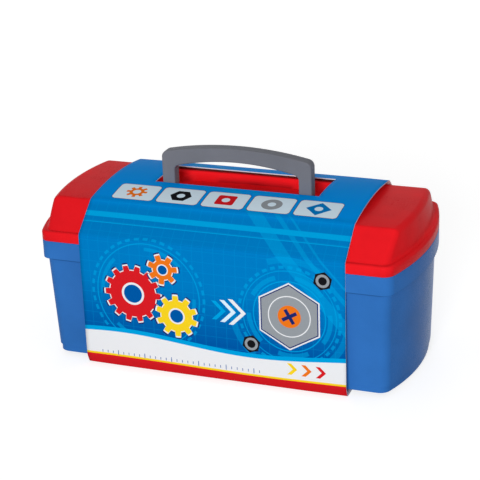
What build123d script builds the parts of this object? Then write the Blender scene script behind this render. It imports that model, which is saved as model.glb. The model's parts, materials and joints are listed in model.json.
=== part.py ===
from build123d import *
import os
from math import atan2, cos, hypot, sin

# Toy tool box in its card sleeve, packed with a toy bench and pretend tools.
# Millimetres. X runs along the box, Y from front to back, Z up from the table,
# and the model is drawn about the middle of the tub, then moved back a little at
# the end, so that the origin lies on the table under the middle of the outline.

# Clearances shared by every fit
OVERRUN = 5.0  # how far a cut runs past the faces that it opens
SEAT_GAP = 0.3  # between a piece and what it lies on
RUNNING_GAP = 0.3  # between pieces that turn or slide past each other
PIN_GAP = 0.1  # between a pin and its bore

# The tub and the outline that it shares with the lid
FRONT_LENGTH = 308.0  # straight front, from corner to corner
BOX_DEPTH = 162.0
END_BOW = 15.0  # how far each end bulges past the corners
PLAN_CORNER = 10.0
RIM_HEIGHT = 112.0
BAND_HEIGHT = 16.0  # the proud band round the tub's rim
BAND_STEP = 3.0  # how far the band stands out from the wall below it
BAND_ROUND = 1.2
TUB_DRAFT_ENDS = 2.0
TUB_DRAFT_SIDES = 5.0
WALL = 2.2
FLOOR_WALL = 2.5
FOOT_HEIGHT = 4.6
FOOT_SIZE = 12.0
FOOT_INSET = 12.0  # from the base's edge to the foot
FOOT_ROUND = 2.0
STEP_HEIGHT = 6.0  # the shallow step round the base
STEP_INSET = 1.0

# The lid
LID_GAP = 0.3
FLANGE_HEIGHT = 8.7
FLANGE_ROUND = 2.4
LID_STEP = 4.0  # from the flange in to the lid's front slope
LID_END_LEAN = 6.0  # how much further in the ends are at the top
SLOPE_DEPTH = 24.0  # the slope, seen from above
SLOPE_HEIGHT = 20.7
CROWN_RISE = 7.6  # the top's arch above the two creases
CREASE_ROUND = 6.0
LIP_DEPTH = 3.0
LIP_WALL = 1.6
GROOVE_X = 103.0  # centre of the groove that marks off each end block
GROOVE_WIDTH = 3.0
GROOVE_DEPTH = 0.9

# The carrying handle and its recess in the lid
HANDLE_LENGTH = 136.0
HANDLE_LEG = 11.5
HANDLE_DEPTH = 11.0
HANDLE_RISE = 35.0  # from the pivot to the grip's top at its ends
HANDLE_ARCH = 7.5
HANDLE_GRIP = 12.5
HANDLE_CORNER = 6.0
HANDLE_INNER_CORNER = 5.0
HANDLE_EDGE = 1.4
HANDLE_Y = -6.5
PIVOT_DROP = 6.6  # pivot below the lid's crown
PIVOT_RADIUS = 2.2
EAR_WALL = 2.6
EAR_RADIUS = 4.0
RECESS_LENGTH = 152.0
RECESS_LIP_ROUND = 1.6

# The lid's hinges at the back
HINGE_X = 136.0
HINGE_WIDTH = 22.0
KNUCKLE_RADIUS = 3.0
KNUCKLE_GAP = 0.5
HINGE_PIN_RADIUS = 1.3

# The latch at the front
LATCH_WIDTH = 47.0
LATCH_HEIGHT = 52.0
LATCH_WALL = 2.0
LATCH_SIDE_GAP = 1.2
LATCH_CORNER = 4.0
LATCH_PIN_RADIUS = 0.8
LATCH_RISE = 4.6  # hinge axis above the lid's lower edge
LATCH_GRIP_RIDGES = 3
LATCH_RIDGE_PITCH = 4.0
LATCH_RIDGE = 0.5
CATCH_WIDTH = 24.0
CATCH_HEIGHT = 3.0
CATCH_CLEAR = 0.3

# The card sleeve
CARD = 0.8
SLEEVE_LENGTH = 236.0
SLEEVE_GAP = 0.4
SLEEVE_CREASE_GAP = 0.15
SLEEVE_BACK_GAP = 2.8
SLEEVE_STRIP = 9.0  # height of the front crease above the table
SLEEVE_TABLE_GAP = 0.4
SLEEVE_FOOT_IN = 2.5  # how far in the sleeve's bottom edges lie
WINDOW_LENGTH = 149.4
WINDOW_FRONT_GAP = 0.5
WINDOW_BACK_GAP = 0.5

# The sticker under the sleeve
LABEL_LENGTH = 150.0
LABEL_HEIGHT = 48.0
LABEL_LIFT = 3.0  # above the base's step
LABEL_THICK = 0.3

# The bench that stands in the tub
BENCH_LENGTH = 284.0
BENCH_WIDTH = 126.0
BENCH_HEIGHT = 58.0
BENCH_PLATE = 3.0
BENCH_SKIRT = 2.4
BENCH_SKIRT_DEPTH = 10.0
BENCH_CORNER = 8.0
BENCH_EDGE = 1.5
BENCH_FRAME = 9.0  # thickness of each end frame
BENCH_LEG = 22.0
BENCH_ARCH = 34.0
BENCH_END_SLOT = 32.0
BENCH_SLOT_LENGTH = 30.0
BENCH_SLOT_WIDTH = 7.0
BENCH_HOLES = 4
BENCH_HOLE_PITCH = 62.0
RIB_GROOVE = 1.5  # depth of the grooves between the grips' ribs

# Tools on the bench
HAMMER_X = -116.0
HAMMER_Y = -32.0
HAMMER_LENGTH = 192.0
HAMMER_GRIP_RADIUS = 10.5
HAMMER_GRIP_SHARE = 0.52
HAMMER_NECK_RADIUS = 5.5
HAMMER_RIBS = 7
HAMMER_HEAD_WIDTH = 20.0
HAMMER_WAIST_WIDTH = 13.0
HAMMER_FACE_REACH = 27.0
HAMMER_FACE_LENGTH = 11.0
HAMMER_CLAW_REACH = 38.0
HAMMER_CLAW_TIP = 3.5
HAMMER_CLAW_GAP = 3.5
HAMMER_CLAW_SHARE = 0.55
HAMMER_CHAMFER = 1.2
DRIVER_X = -126.0
DRIVER_Y = -58.0
DRIVER_RADIUS = 10.0
DRIVER_GRIP_LENGTH = 74.0
DRIVER_GRIP_SHARE = 0.78
DRIVER_NECK_SHARE = 0.55
DRIVER_RIBS = 5
DRIVER_SHAFT_LENGTH = 68.0
DRIVER_SHAFT_RADIUS = 3.2
DRIVER_TIP_LENGTH = 12.0
DRIVER_TIP_THICK = 1.4
SAW_X = -128.0
SAW_Y = 12.0
SAW_LENGTH = 205.0
SAW_GRIP_LENGTH = 66.0
SAW_HEEL = 48.0
SAW_TOE = 24.0
SAW_BLADE = 4.0
SAW_THICK = 12.0
SAW_BAR = 13.0
SAW_CORNER = 6.0
SAW_TOOTH = 8.0
SAW_GULLET = 4.0
SPANNER_X = 97.0
SPANNER_LENGTH = 122.0
SPANNER_SHANK = 12.0
SPANNER_RING = 13.0
SPANNER_JAW = 14.0
SPANNER_GAP = 14.0
SPANNER_TURN = 15.0
SPANNER_THICK = 6.0
PLIERS_X = 30.0
PLIERS_Y = 36.0
PLIERS_JAW_LENGTH = 38.0
PLIERS_JAW_TIP = 4.5
PLIERS_GRIP_LENGTH = 82.0
PLIERS_SPREAD = 22.0
PLIERS_BAR = 9.0
PLIERS_BOSS = 10.0
PLIERS_PIN = 3.0
PLIERS_THICK = 9.0
WRENCH_X = 127.0
WRENCH_Y = 36.0  # top of the head, where the jaw slides
WRENCH_HEAD = 28.0
WRENCH_JAW = 9.0
WRENCH_JAW_LENGTH = 24.0
WRENCH_GRIP = 14.0
WRENCH_GRIP_LENGTH = 76.0
WRENCH_THICK = 10.0
WRENCH_CORNER = 2.5
WRENCH_RAIL = 2.6
WRENCH_NECK = 1.6
WRENCH_WHEEL = 4.6
WRENCH_WHEEL_WIDTH = 7.0
WRENCH_FLUTES = 12
WRENCH_FLUTE = 0.6
WRENCH_PIN = 1.2

# Tools under the bench
DRILL_X = -95.0
DRILL_Y = 37.0
DRILL_BARREL = 125.0
DRILL_HEIGHT = 42.0
DRILL_THICK = 36.0
DRILL_NOSE = 14.0
DRILL_TAPER = 20.0
DRILL_ROUND = 12.0
DRILL_EDGE = 5.0
DRILL_GRIP_IN = 11.0
DRILL_GRIP = 32.0
DRILL_GRIP_LENGTH = 66.0
DRILL_RAKE = 8.0
DRILL_VENTS = 5
DRILL_VENT = 2.2
DRILL_VENT_PITCH = 5.0
TRIGGER_DROP = 14.0
TRIGGER_LENGTH = 9.0
TRIGGER_HEIGHT = 18.0
TRIGGER_WIDTH = 10.0
TRIGGER_TRAVEL = 5.0
CHUCK_RADIUS = 13.0
CHUCK_NOSE = 7.0
CHUCK_LENGTH = 28.0
CHUCK_COLLAR_SHARE = 0.55
CHUCK_SHAFT = 5.0
CHUCK_SEAT = 12.0
CHUCK_FLUTES = 10
CHUCK_FLUTE = 1.8
BIT_RADIUS = 3.0
BIT_LENGTH = 42.0
RULE_X = 100.0
RULE_Y = -52.0
RULE_LENGTH = 105.0
RULE_WIDTH = 15.0
RULE_THICK = 3.6
RULE_EDGE = 0.6
RULE_RIVET = 2.5
BOLTS_Y = 8.0
BOLT_PLACES = (78.0, 104.0)
BOLT_RADIUS = 4.0
BOLT_HEAD = 11.0
BOLT_HEAD_HEIGHT = 6.0
BOLT_LENGTH = 26.0
BOLT_END = 1.0
BOLT_SCALLOPS = 10
BOLT_SCALLOP = 2.0
NUTS_Y = 3.0
NUT_PLACES = (-18.0, 7.0)
NUT_FLANGE = 9.5
NUT_FLANGE_THICK = 2.0
NUT_ACROSS = 15.0
NUT_HEIGHT = 8.0

# Heights and places that follow from those
tub_bottom = FOOT_HEIGHT
tub_floor = tub_bottom + FLOOR_WALL
band_bottom = RIM_HEIGHT - BAND_HEIGHT
half_front = FRONT_LENGTH / 2
half_depth = BOX_DEPTH / 2
lid_bottom = RIM_HEIGHT + LID_GAP
flange_top = lid_bottom + FLANGE_HEIGHT
crease_height = flange_top + SLOPE_HEIGHT
crease_y = half_depth - LID_STEP - SLOPE_DEPTH
crown_height = crease_height + CROWN_RISE
pivot_height = crown_height - PIVOT_DROP
recess_floor = pivot_height - HANDLE_DEPTH / 2 - RUNNING_GAP * 2
recess_front = HANDLE_Y - HANDLE_DEPTH / 2 - WINDOW_FRONT_GAP
handle_reach = hypot(HANDLE_RISE + HANDLE_ARCH, HANDLE_DEPTH / 2)
hinge_y = half_depth + KNUCKLE_RADIUS + KNUCKLE_GAP
latch_axis_z = lid_bottom + LATCH_RISE
latch_barrel = LATCH_WALL / 2 + LATCH_PIN_RADIUS
latch_axis_y = -half_depth + latch_barrel
field_half = LATCH_WIDTH / 2 + LATCH_SIDE_GAP
lip_inset = WALL + RUNNING_GAP


def box_plan(inset_ends, inset_sides):
    """Plan of the box: straight front and back, bowed ends, rounded corners."""
    half_x = half_front - inset_ends
    half_y = half_depth - inset_sides
    with BuildSketch() as plan:
        with BuildLine():
            Line((-half_x, -half_y), (half_x, -half_y))
            ThreePointArc((half_x, -half_y), (half_x + END_BOW, 0), (half_x, half_y))
            Line((half_x, half_y), (-half_x, half_y))
            ThreePointArc((-half_x, half_y), (-half_x - END_BOW, 0), (-half_x, -half_y))
        make_face()
        fillet(plan.vertices(), PLAN_CORNER)
    return plan.sketch


def lid_section(bottom, foot_y):
    """Section of the lid across the box: steep slopes and an arched top."""
    with BuildSketch() as section:
        with BuildLine():
            Polyline((-crease_y, crease_height), (-foot_y, flange_top), (-foot_y, bottom),
                     (foot_y, bottom), (foot_y, flange_top), (crease_y, crease_height))
            ThreePointArc((crease_y, crease_height), (0, crown_height), (-crease_y, crease_height))
        make_face()
    return section.sketch


def card_strip(points, thickness):
    """Closed outline of folded card that follows the points on its right-hand side."""
    inner = []
    for i, (y, z) in enumerate(points):
        before = points[max(i - 1, 0)]
        after = points[min(i + 1, len(points) - 1)]
        turns = []
        if i > 0:
            turns.append(atan2(z - before[1], y - before[0]))
        if i < len(points) - 1:
            turns.append(atan2(after[1] - z, after[0] - y))
        middle = sum(turns) / len(turns)
        reach = thickness / cos((turns[-1] - turns[0]) / 2)
        inner.append((y - reach * sin(middle), z + reach * cos(middle)))
    return points + inner[::-1]


# Base tub: drafted walls, a proud rim band, a step round the base and four feet
wall_bottom_z = tub_bottom + STEP_HEIGHT
base_ends = BAND_STEP + TUB_DRAFT_ENDS
base_sides = BAND_STEP + TUB_DRAFT_SIDES
field_y = -half_depth + BAND_STEP
foot_x = half_front - base_ends - FOOT_INSET - FOOT_SIZE / 2
foot_y = half_depth - base_sides - FOOT_INSET - FOOT_SIZE / 2
catch_z = latch_axis_z - LATCH_HEIGHT / 2
catch_y = -half_depth + LATCH_WALL + CATCH_CLEAR
with BuildPart() as base_tub:
    with BuildSketch(Plane.XY.offset(wall_bottom_z)):
        add(box_plan(base_ends, base_sides))
    with BuildSketch(Plane.XY.offset(band_bottom)):
        add(box_plan(BAND_STEP, BAND_STEP))
    loft(ruled=True)
    with BuildSketch(Plane.XY.offset(tub_bottom)):
        add(box_plan(base_ends + STEP_INSET, base_sides + STEP_INSET))
    extrude(amount=STEP_HEIGHT)
    with BuildSketch(Plane.XY.offset(band_bottom)):
        add(box_plan(0, 0))
    extrude(amount=BAND_HEIGHT)
    fillet(base_tub.edges().group_by(Axis.Z)[-1], BAND_ROUND)
    with BuildSketch(Plane.XY.offset(tub_floor)):
        add(box_plan(base_ends + STEP_INSET + WALL, base_sides + STEP_INSET + WALL))
    with BuildSketch(Plane.XY.offset(band_bottom + WALL)):
        add(box_plan(BAND_STEP + WALL, BAND_STEP + WALL))
    loft(ruled=True, mode=Mode.SUBTRACT)
    with BuildSketch(Plane.XY.offset(band_bottom + WALL)):
        add(box_plan(WALL, WALL))
    extrude(amount=BAND_HEIGHT, mode=Mode.SUBTRACT)
    # The band stops at the latch, where the wall stands a step further in
    field_wall = field_y + WALL
    with BuildSketch(Plane.XY.offset(band_bottom)):
        with Locations((0, (field_wall - half_depth + WALL / 2) / 2)):
            Rectangle(2 * (field_half + WALL), field_wall + half_depth - WALL / 2)
    extrude(amount=BAND_HEIGHT)
    with BuildSketch(Plane.XY.offset(band_bottom)):
        with Locations((0, field_y - BAND_STEP)):
            Rectangle(2 * field_half, 2 * BAND_STEP)
    extrude(amount=BAND_HEIGHT + OVERRUN, mode=Mode.SUBTRACT)
    with Locations((0, (catch_y + field_y + WALL) / 2, catch_z)):
        Box(CATCH_WIDTH, field_y + WALL - catch_y, CATCH_HEIGHT)
    with BuildSketch(Plane.XY):
        with GridLocations(2 * foot_x, 2 * foot_y, 2, 2):
            RectangleRounded(FOOT_SIZE, FOOT_SIZE, FOOT_ROUND)
    extrude(amount=FOOT_HEIGHT + FLOOR_WALL / 2)
    # Outer knuckles of the two hinges, each webbed to the band
    knuckle = (HINGE_WIDTH - 2 * RUNNING_GAP) / 3
    for side in (-1, 1):
        for end in (-1, 1):
            knuckle_x = side * HINGE_X + end * (knuckle + RUNNING_GAP) - knuckle / 2
            with BuildSketch(Plane.YZ.offset(knuckle_x)):
                with Locations((hinge_y, RIM_HEIGHT)):
                    Circle(KNUCKLE_RADIUS)
                with BuildLine():
                    Polyline((hinge_y, RIM_HEIGHT), (half_depth - WALL / 2, RIM_HEIGHT),
                             (half_depth - WALL / 2, RIM_HEIGHT - 3 * KNUCKLE_RADIUS),
                             (half_depth, RIM_HEIGHT - 3 * KNUCKLE_RADIUS),
                             (hinge_y, RIM_HEIGHT - KNUCKLE_RADIUS), close=True)
                make_face()
                with Locations((hinge_y, RIM_HEIGHT)):
                    Circle(HINGE_PIN_RADIUS + PIN_GAP, mode=Mode.SUBTRACT)
            extrude(amount=knuckle)

# Lid: a flange flush with the band, steep slopes, an arched top and a handle recess
lid_foot_y = half_depth - LID_STEP
recess_back_y = HANDLE_Y + hypot(HANDLE_RISE, HANDLE_DEPTH / 2) + RUNNING_GAP * 2
recess_arch = handle_reach + HANDLE_Y + RUNNING_GAP * 2 - recess_back_y
ear_x = HANDLE_LENGTH / 2 + RUNNING_GAP + EAR_WALL / 2


def recess_plan(grow):
    """Plan of the handle's recess, with a back edge that follows the grip's arch."""
    half_x = RECESS_LENGTH / 2 + grow
    with BuildSketch() as plan:
        with BuildLine():
            Polyline((-half_x, recess_back_y + grow), (-half_x, recess_front - grow),
                     (half_x, recess_front - grow), (half_x, recess_back_y + grow))
            ThreePointArc((half_x, recess_back_y + grow), (0, recess_back_y + recess_arch + grow),
                          (-half_x, recess_back_y + grow))
        make_face()
    return plan.sketch


with BuildPart() as lid_hollow:
    with BuildSketch(Plane.YZ):
        add(lid_section(lid_bottom - OVERRUN, lid_foot_y))
        offset(amount=-WALL, kind=Kind.INTERSECTION, mode=Mode.REPLACE)
    extrude(amount=half_front + END_BOW, both=True)
    with BuildSketch(Plane.XY.offset(lid_bottom)):
        add(box_plan(LID_STEP + WALL, 0))
    with BuildSketch(Plane.XY.offset(crown_height)):
        add(box_plan(LID_STEP + LID_END_LEAN + WALL, 0))
    loft(ruled=True, mode=Mode.INTERSECT)
    with BuildSketch(Plane.XY.offset(recess_floor - WALL)):
        add(recess_plan(WALL))
    extrude(amount=CROWN_RISE * 3, mode=Mode.SUBTRACT)

with BuildPart() as lid:
    with BuildSketch(Plane.YZ):
        add(lid_section(lid_bottom, lid_foot_y))
    extrude(amount=half_front + END_BOW, both=True)
    with BuildSketch(Plane.XY.offset(lid_bottom)):
        add(box_plan(LID_STEP, 0))
    with BuildSketch(Plane.XY.offset(crown_height)):
        add(box_plan(LID_STEP + LID_END_LEAN, 0))
    loft(ruled=True, mode=Mode.INTERSECT)
    above = lid.edges().filter_by(lambda e: e.center().Z > flange_top + SLOPE_HEIGHT / 4)
    fillet(above, CREASE_ROUND)
    with BuildSketch(Plane.XY.offset(lid_bottom)):
        add(box_plan(0, 0))
    extrude(amount=FLANGE_HEIGHT)
    ledge = lid.edges().filter_by_position(Axis.Z, flange_top, flange_top)
    outer = ledge.filter_by(
        lambda e: abs((e @ 0.5).Y) > lid_foot_y + LID_STEP / 4 or abs((e @ 0.5).X) > half_front + LID_STEP
    )
    fillet(outer, FLANGE_ROUND)
    add(lid_hollow.part, mode=Mode.SUBTRACT)
    with BuildSketch(Plane.XY.offset(lid_bottom - OVERRUN)):
        add(box_plan(WALL, WALL))
    extrude(amount=FLANGE_HEIGHT + OVERRUN - WALL, mode=Mode.SUBTRACT)
    # A stepped lip locates the lid inside the tub's rim
    with BuildSketch(Plane.XY.offset(lid_bottom)):
        add(box_plan(WALL / 2, WALL / 2))
        add(box_plan(lip_inset + LIP_WALL, lip_inset + LIP_WALL), mode=Mode.SUBTRACT)
    extrude(amount=WALL)
    with BuildSketch(Plane.XY.offset(lid_bottom - LIP_DEPTH)):
        add(box_plan(lip_inset, lip_inset))
        add(box_plan(lip_inset + LIP_WALL, lip_inset + LIP_WALL), mode=Mode.SUBTRACT)
        with Locations((0, -half_depth)):
            Rectangle(2 * (field_half + WALL + RUNNING_GAP), 4 * LID_STEP, mode=Mode.SUBTRACT)
    extrude(amount=LIP_DEPTH + WALL / 2)
    # The flange stops at the latch, with a wall behind it that carries on the slope's foot
    with BuildSketch(Plane.XY.offset(lid_bottom)):
        with Locations((0, -half_depth + (LID_STEP + WALL * 3 / 2) / 2)):
            Rectangle(2 * (field_half + WALL), LID_STEP + WALL / 2)
    extrude(amount=FLANGE_HEIGHT - FLANGE_ROUND)
    with BuildSketch(Plane.XY.offset(lid_bottom)):
        with Locations((0, -half_depth)):
            Rectangle(2 * field_half, 2 * LID_STEP)
    extrude(amount=FLANGE_HEIGHT + OVERRUN, mode=Mode.SUBTRACT)
    with BuildSketch(Plane.YZ):
        with Locations((latch_axis_y, latch_axis_z)):
            Circle(LATCH_PIN_RADIUS + PIN_GAP)
    extrude(amount=field_half + WALL, both=True, mode=Mode.SUBTRACT)
    # Handle recess with an ear outside each leg
    with BuildSketch(Plane.XY.offset(recess_floor)):
        add(recess_plan(0))
    extrude(amount=CROWN_RISE * 3, mode=Mode.SUBTRACT)
    rim = lid.edges().filter_by(
        lambda e: abs((e @ 0.5).X) < half_front / 2 and abs((e @ 0.5).Y) < crease_y - WALL
        and (e @ 0.5).Z > crease_height - WALL
    )
    fillet(rim, RECESS_LIP_ROUND)
    for side in (-1, 1):
        with BuildSketch(Plane.YZ.offset(side * ear_x - EAR_WALL / 2)):
            with Locations((HANDLE_Y, pivot_height)):
                Circle(EAR_RADIUS)
            with Locations((HANDLE_Y, (pivot_height + recess_floor - WALL / 2) / 2)):
                Rectangle(2 * EAR_RADIUS, pivot_height - recess_floor + WALL / 2)
            with Locations((HANDLE_Y, pivot_height)):
                Circle(PIVOT_RADIUS + PIN_GAP, mode=Mode.SUBTRACT)
        extrude(amount=EAR_WALL)
        # Middle knuckle of each hinge
        with BuildSketch(Plane.YZ.offset(side * HINGE_X - knuckle / 2)):
            with Locations((hinge_y, RIM_HEIGHT)):
                Circle(KNUCKLE_RADIUS)
            with BuildLine():
                Polyline((hinge_y, RIM_HEIGHT), (half_depth - WALL / 2, lid_bottom),
                         (half_depth - WALL / 2, flange_top - FLANGE_ROUND),
                         (half_depth, flange_top - FLANGE_ROUND),
                         (hinge_y, RIM_HEIGHT + KNUCKLE_RADIUS), close=True)
            make_face()
            with Locations((hinge_y, RIM_HEIGHT)):
                Circle(HINGE_PIN_RADIUS + PIN_GAP, mode=Mode.SUBTRACT)
        extrude(amount=knuckle)
        # Groove that sets off the end block
        with BuildSketch(Plane.YZ.offset(side * GROOVE_X - GROOVE_WIDTH / 2)):
            add(lid_section(lid_bottom, lid_foot_y + OVERRUN))
            with BuildSketch(mode=Mode.SUBTRACT):
                add(lid_section(lid_bottom - OVERRUN, lid_foot_y))
                offset(amount=-GROOVE_DEPTH, kind=Kind.INTERSECTION, mode=Mode.REPLACE)
            with Locations((0, lid_bottom + FLANGE_HEIGHT / 2)):
                Rectangle(BOX_DEPTH * 2, FLANGE_HEIGHT + WALL, mode=Mode.SUBTRACT)
        extrude(amount=GROOVE_WIDTH, mode=Mode.SUBTRACT)

# Handle: an arched bow on two legs that turns on stubs in the lid's ears
handle_half = HANDLE_LENGTH / 2
grip_end = pivot_height + HANDLE_RISE
grip_top = grip_end + HANDLE_ARCH
inner_half = handle_half - HANDLE_LEG
grip_under = grip_top - HANDLE_GRIP
with BuildPart() as handle:
    with BuildSketch(Plane.XZ.offset(-HANDLE_Y)) as bow:
        with BuildLine():
            Polyline((handle_half, grip_end), (handle_half, pivot_height - HANDLE_DEPTH / 2),
                     (-handle_half, pivot_height - HANDLE_DEPTH / 2), (-handle_half, grip_end))
            ThreePointArc((-handle_half, grip_end), (0, grip_top), (handle_half, grip_end))
        make_face()
        fillet(bow.vertices().group_by(Axis.Y)[-1], HANDLE_CORNER)
    extrude(amount=HANDLE_DEPTH / 2, both=True)
    with BuildSketch(Plane.XZ.offset(-HANDLE_Y)) as opening:
        with BuildLine():
            Polyline((inner_half, grip_under - HANDLE_ARCH), (inner_half, 0), (-inner_half, 0),
                     (-inner_half, grip_under - HANDLE_ARCH))
            ThreePointArc((-inner_half, grip_under - HANDLE_ARCH), (0, grip_under),
                          (inner_half, grip_under - HANDLE_ARCH))
        make_face()
        fillet(opening.vertices().group_by(Axis.Y)[-1], HANDLE_INNER_CORNER)
    extrude(amount=HANDLE_DEPTH, both=True, mode=Mode.SUBTRACT)
    with BuildSketch(Plane.YZ):
        with Locations((HANDLE_Y, pivot_height)):
            Circle(HANDLE_DEPTH / 2)
        with Locations((HANDLE_Y, pivot_height + grip_top / 2)):
            Rectangle(HANDLE_DEPTH, grip_top)
    extrude(amount=handle_half + OVERRUN, both=True, mode=Mode.INTERSECT)
    front_and_back = handle.faces().filter_by(Axis.Y)
    above_pivot = front_and_back.edges().filter_by(lambda e: (e @ 0.5).Z > pivot_height + HANDLE_DEPTH / 4)
    fillet(above_pivot, HANDLE_EDGE)
    with BuildSketch(Plane.YZ):
        with Locations((HANDLE_Y, pivot_height)):
            Circle(PIVOT_RADIUS)
    extrude(amount=ear_x + EAR_WALL / 2, both=True)
    with BuildSketch(Plane.XZ.offset(-HANDLE_Y)):
        with Locations((0, pivot_height)):
            Rectangle(2 * inner_half, HANDLE_DEPTH)
    extrude(amount=HANDLE_DEPTH, both=True, mode=Mode.SUBTRACT)

# Hinge pins and the latch with its pin
hinge_pins = []
for side in (-1, 1):
    with BuildPart() as hinge_pin:
        with BuildSketch(Plane.YZ.offset(side * HINGE_X - HINGE_WIDTH / 2)):
            with Locations((hinge_y, RIM_HEIGHT)):
                Circle(HINGE_PIN_RADIUS)
        extrude(amount=HINGE_WIDTH)
    hinge_pins.append(hinge_pin)

with BuildPart() as latch_pin:
    with BuildSketch(Plane.YZ):
        with Locations((latch_axis_y, latch_axis_z)):
            Circle(LATCH_PIN_RADIUS)
    extrude(amount=field_half + WALL - PIN_GAP, both=True)

with BuildPart() as latch:
    with BuildSketch(Plane.XZ.offset(half_depth)) as plate:
        with Locations((0, latch_axis_z - LATCH_HEIGHT / 2)):
            Rectangle(LATCH_WIDTH, LATCH_HEIGHT)
        fillet(plate.vertices().group_by(Axis.Y)[0], LATCH_CORNER)
    extrude(amount=-LATCH_WALL)
    with BuildSketch(Plane.YZ):
        with Locations((latch_axis_y, latch_axis_z)):
            Circle(latch_barrel)
    extrude(amount=LATCH_WIDTH / 2, both=True)
    with BuildSketch(Plane.YZ):
        with Locations((latch_axis_y, latch_axis_z)):
            Circle(LATCH_PIN_RADIUS + PIN_GAP)
    extrude(amount=LATCH_WIDTH, both=True, mode=Mode.SUBTRACT)
    # Grip grooves near the lower edge
    for i in range(LATCH_GRIP_RIDGES):
        ridge_z = latch_axis_z - LATCH_HEIGHT + LATCH_CORNER + (i + 1) * LATCH_RIDGE_PITCH
        with Locations((0, -half_depth, ridge_z)):
            Box(LATCH_WIDTH - 4 * LATCH_CORNER, 2 * LATCH_RIDGE, LATCH_RIDGE_PITCH / 2, mode=Mode.SUBTRACT)

# Card sleeve in three panels, creased at the front, at the lid's foot and at the back
sleeve_half = SLEEVE_LENGTH / 2
sleeve_out = SLEEVE_GAP + CARD
sleeve_y = half_depth + sleeve_out
slope_angle = atan2(SLOPE_HEIGHT, SLOPE_DEPTH + LID_STEP)
flap_axis_z = flange_top + sleeve_out * (1 - sin(slope_angle)) / cos(slope_angle)
window_front = HANDLE_Y - HANDLE_DEPTH / 2 - WINDOW_FRONT_GAP
window_back = HANDLE_Y + handle_reach + WINDOW_BACK_GAP
sleeve_foot_y = half_depth - SLEEVE_FOOT_IN

with BuildPart() as sleeve_base:
    with BuildSketch(Plane.YZ):
        with BuildLine():
            Polyline(*card_strip([(-sleeve_y, SLEEVE_STRIP), (-sleeve_foot_y, SLEEVE_TABLE_GAP),
                                  (sleeve_foot_y, SLEEVE_TABLE_GAP), (sleeve_y, band_bottom),
                                  (sleeve_y, RIM_HEIGHT - SLEEVE_BACK_GAP / 2)], CARD), close=True)
        make_face()
    extrude(amount=sleeve_half, both=True)

with BuildPart() as sleeve_front:
    with BuildSketch(Plane.YZ):
        with BuildLine():
            Polyline(*card_strip([(-sleeve_y, flap_axis_z - SLEEVE_CREASE_GAP),
                                  (-sleeve_y, SLEEVE_STRIP + CARD)], CARD), close=True)
        make_face()
    extrude(amount=sleeve_half, both=True)

with BuildPart() as sleeve_cover:
    with BuildSketch(Plane.YZ):
        add(lid_section(RIM_HEIGHT + SLEEVE_BACK_GAP / 2, half_depth))
        offset(amount=sleeve_out, kind=Kind.INTERSECTION, mode=Mode.REPLACE)
        with BuildSketch(mode=Mode.SUBTRACT):
            add(lid_section(RIM_HEIGHT, half_depth))
            offset(amount=SLEEVE_GAP, kind=Kind.INTERSECTION, mode=Mode.REPLACE)
        with Locations((0, RIM_HEIGHT)):
            Rectangle(BOX_DEPTH * 2, SLEEVE_BACK_GAP, mode=Mode.SUBTRACT)
        with Locations((-half_depth, (flap_axis_z + SLEEVE_CREASE_GAP) / 2)):
            Rectangle(BOX_DEPTH, flap_axis_z + SLEEVE_CREASE_GAP, mode=Mode.SUBTRACT)
    extrude(amount=sleeve_half, both=True)
    with BuildSketch(Plane.XY.offset(crease_height)):
        with Locations((0, (window_front + window_back) / 2)):
            Rectangle(WINDOW_LENGTH, window_back - window_front)
    extrude(amount=CROWN_RISE * 3, mode=Mode.SUBTRACT)

# Plain sticker on the tub's front, flat on the drafted wall
draft = TUB_DRAFT_SIDES / (band_bottom - wall_bottom_z)
label_low = wall_bottom_z + LABEL_LIFT
label_high = label_low + LABEL_HEIGHT
wall_at_low = -half_depth + base_sides - draft * LABEL_LIFT
wall_at_high = -half_depth + base_sides - draft * (LABEL_LIFT + LABEL_HEIGHT)
with BuildPart() as front_label:
    with BuildSketch(Plane.YZ):
        with BuildLine():
            Polyline((wall_at_high, label_high), (wall_at_low, label_low),
                     (wall_at_low - LABEL_THICK, label_low), (wall_at_high - LABEL_THICK, label_high),
                     close=True)
        make_face()
    extrude(amount=LABEL_LENGTH / 2, both=True)

# Bench: a plate with a skirt and holes, carried on two end frames
bench_top_z = tub_floor + BENCH_HEIGHT
bench_under = bench_top_z - BENCH_PLATE
frame_x = BENCH_LENGTH / 2 - BENCH_CORNER - BENCH_FRAME / 2 - SEAT_GAP
frame_half_y = BENCH_WIDTH / 2 - BENCH_SKIRT - SEAT_GAP
with BuildPart() as bench_top:
    with BuildSketch(Plane.XY.offset(bench_top_z)):
        RectangleRounded(BENCH_LENGTH, BENCH_WIDTH, BENCH_CORNER)
    extrude(amount=-BENCH_SKIRT_DEPTH)
    fillet(bench_top.faces().sort_by(Axis.Z)[-1].edges(), BENCH_EDGE)
    with BuildSketch(Plane.XY.offset(bench_under)):
        RectangleRounded(BENCH_LENGTH - 2 * BENCH_SKIRT, BENCH_WIDTH - 2 * BENCH_SKIRT,
                         BENCH_CORNER - BENCH_SKIRT)
    extrude(amount=-BENCH_SKIRT_DEPTH, mode=Mode.SUBTRACT)
    with BuildSketch(Plane.XY.offset(bench_top_z)):
        with GridLocations(BENCH_HOLE_PITCH, BENCH_WIDTH - 4 * BENCH_CORNER, BENCH_HOLES, 2):
            Circle(BOLT_RADIUS + RUNNING_GAP)
        with GridLocations(BENCH_LENGTH - 6 * BENCH_CORNER, 0, 2, 1):
            SlotOverall(BENCH_SLOT_LENGTH, BENCH_SLOT_WIDTH, rotation=90)
    extrude(amount=-BENCH_SKIRT_DEPTH, mode=Mode.SUBTRACT)

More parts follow.
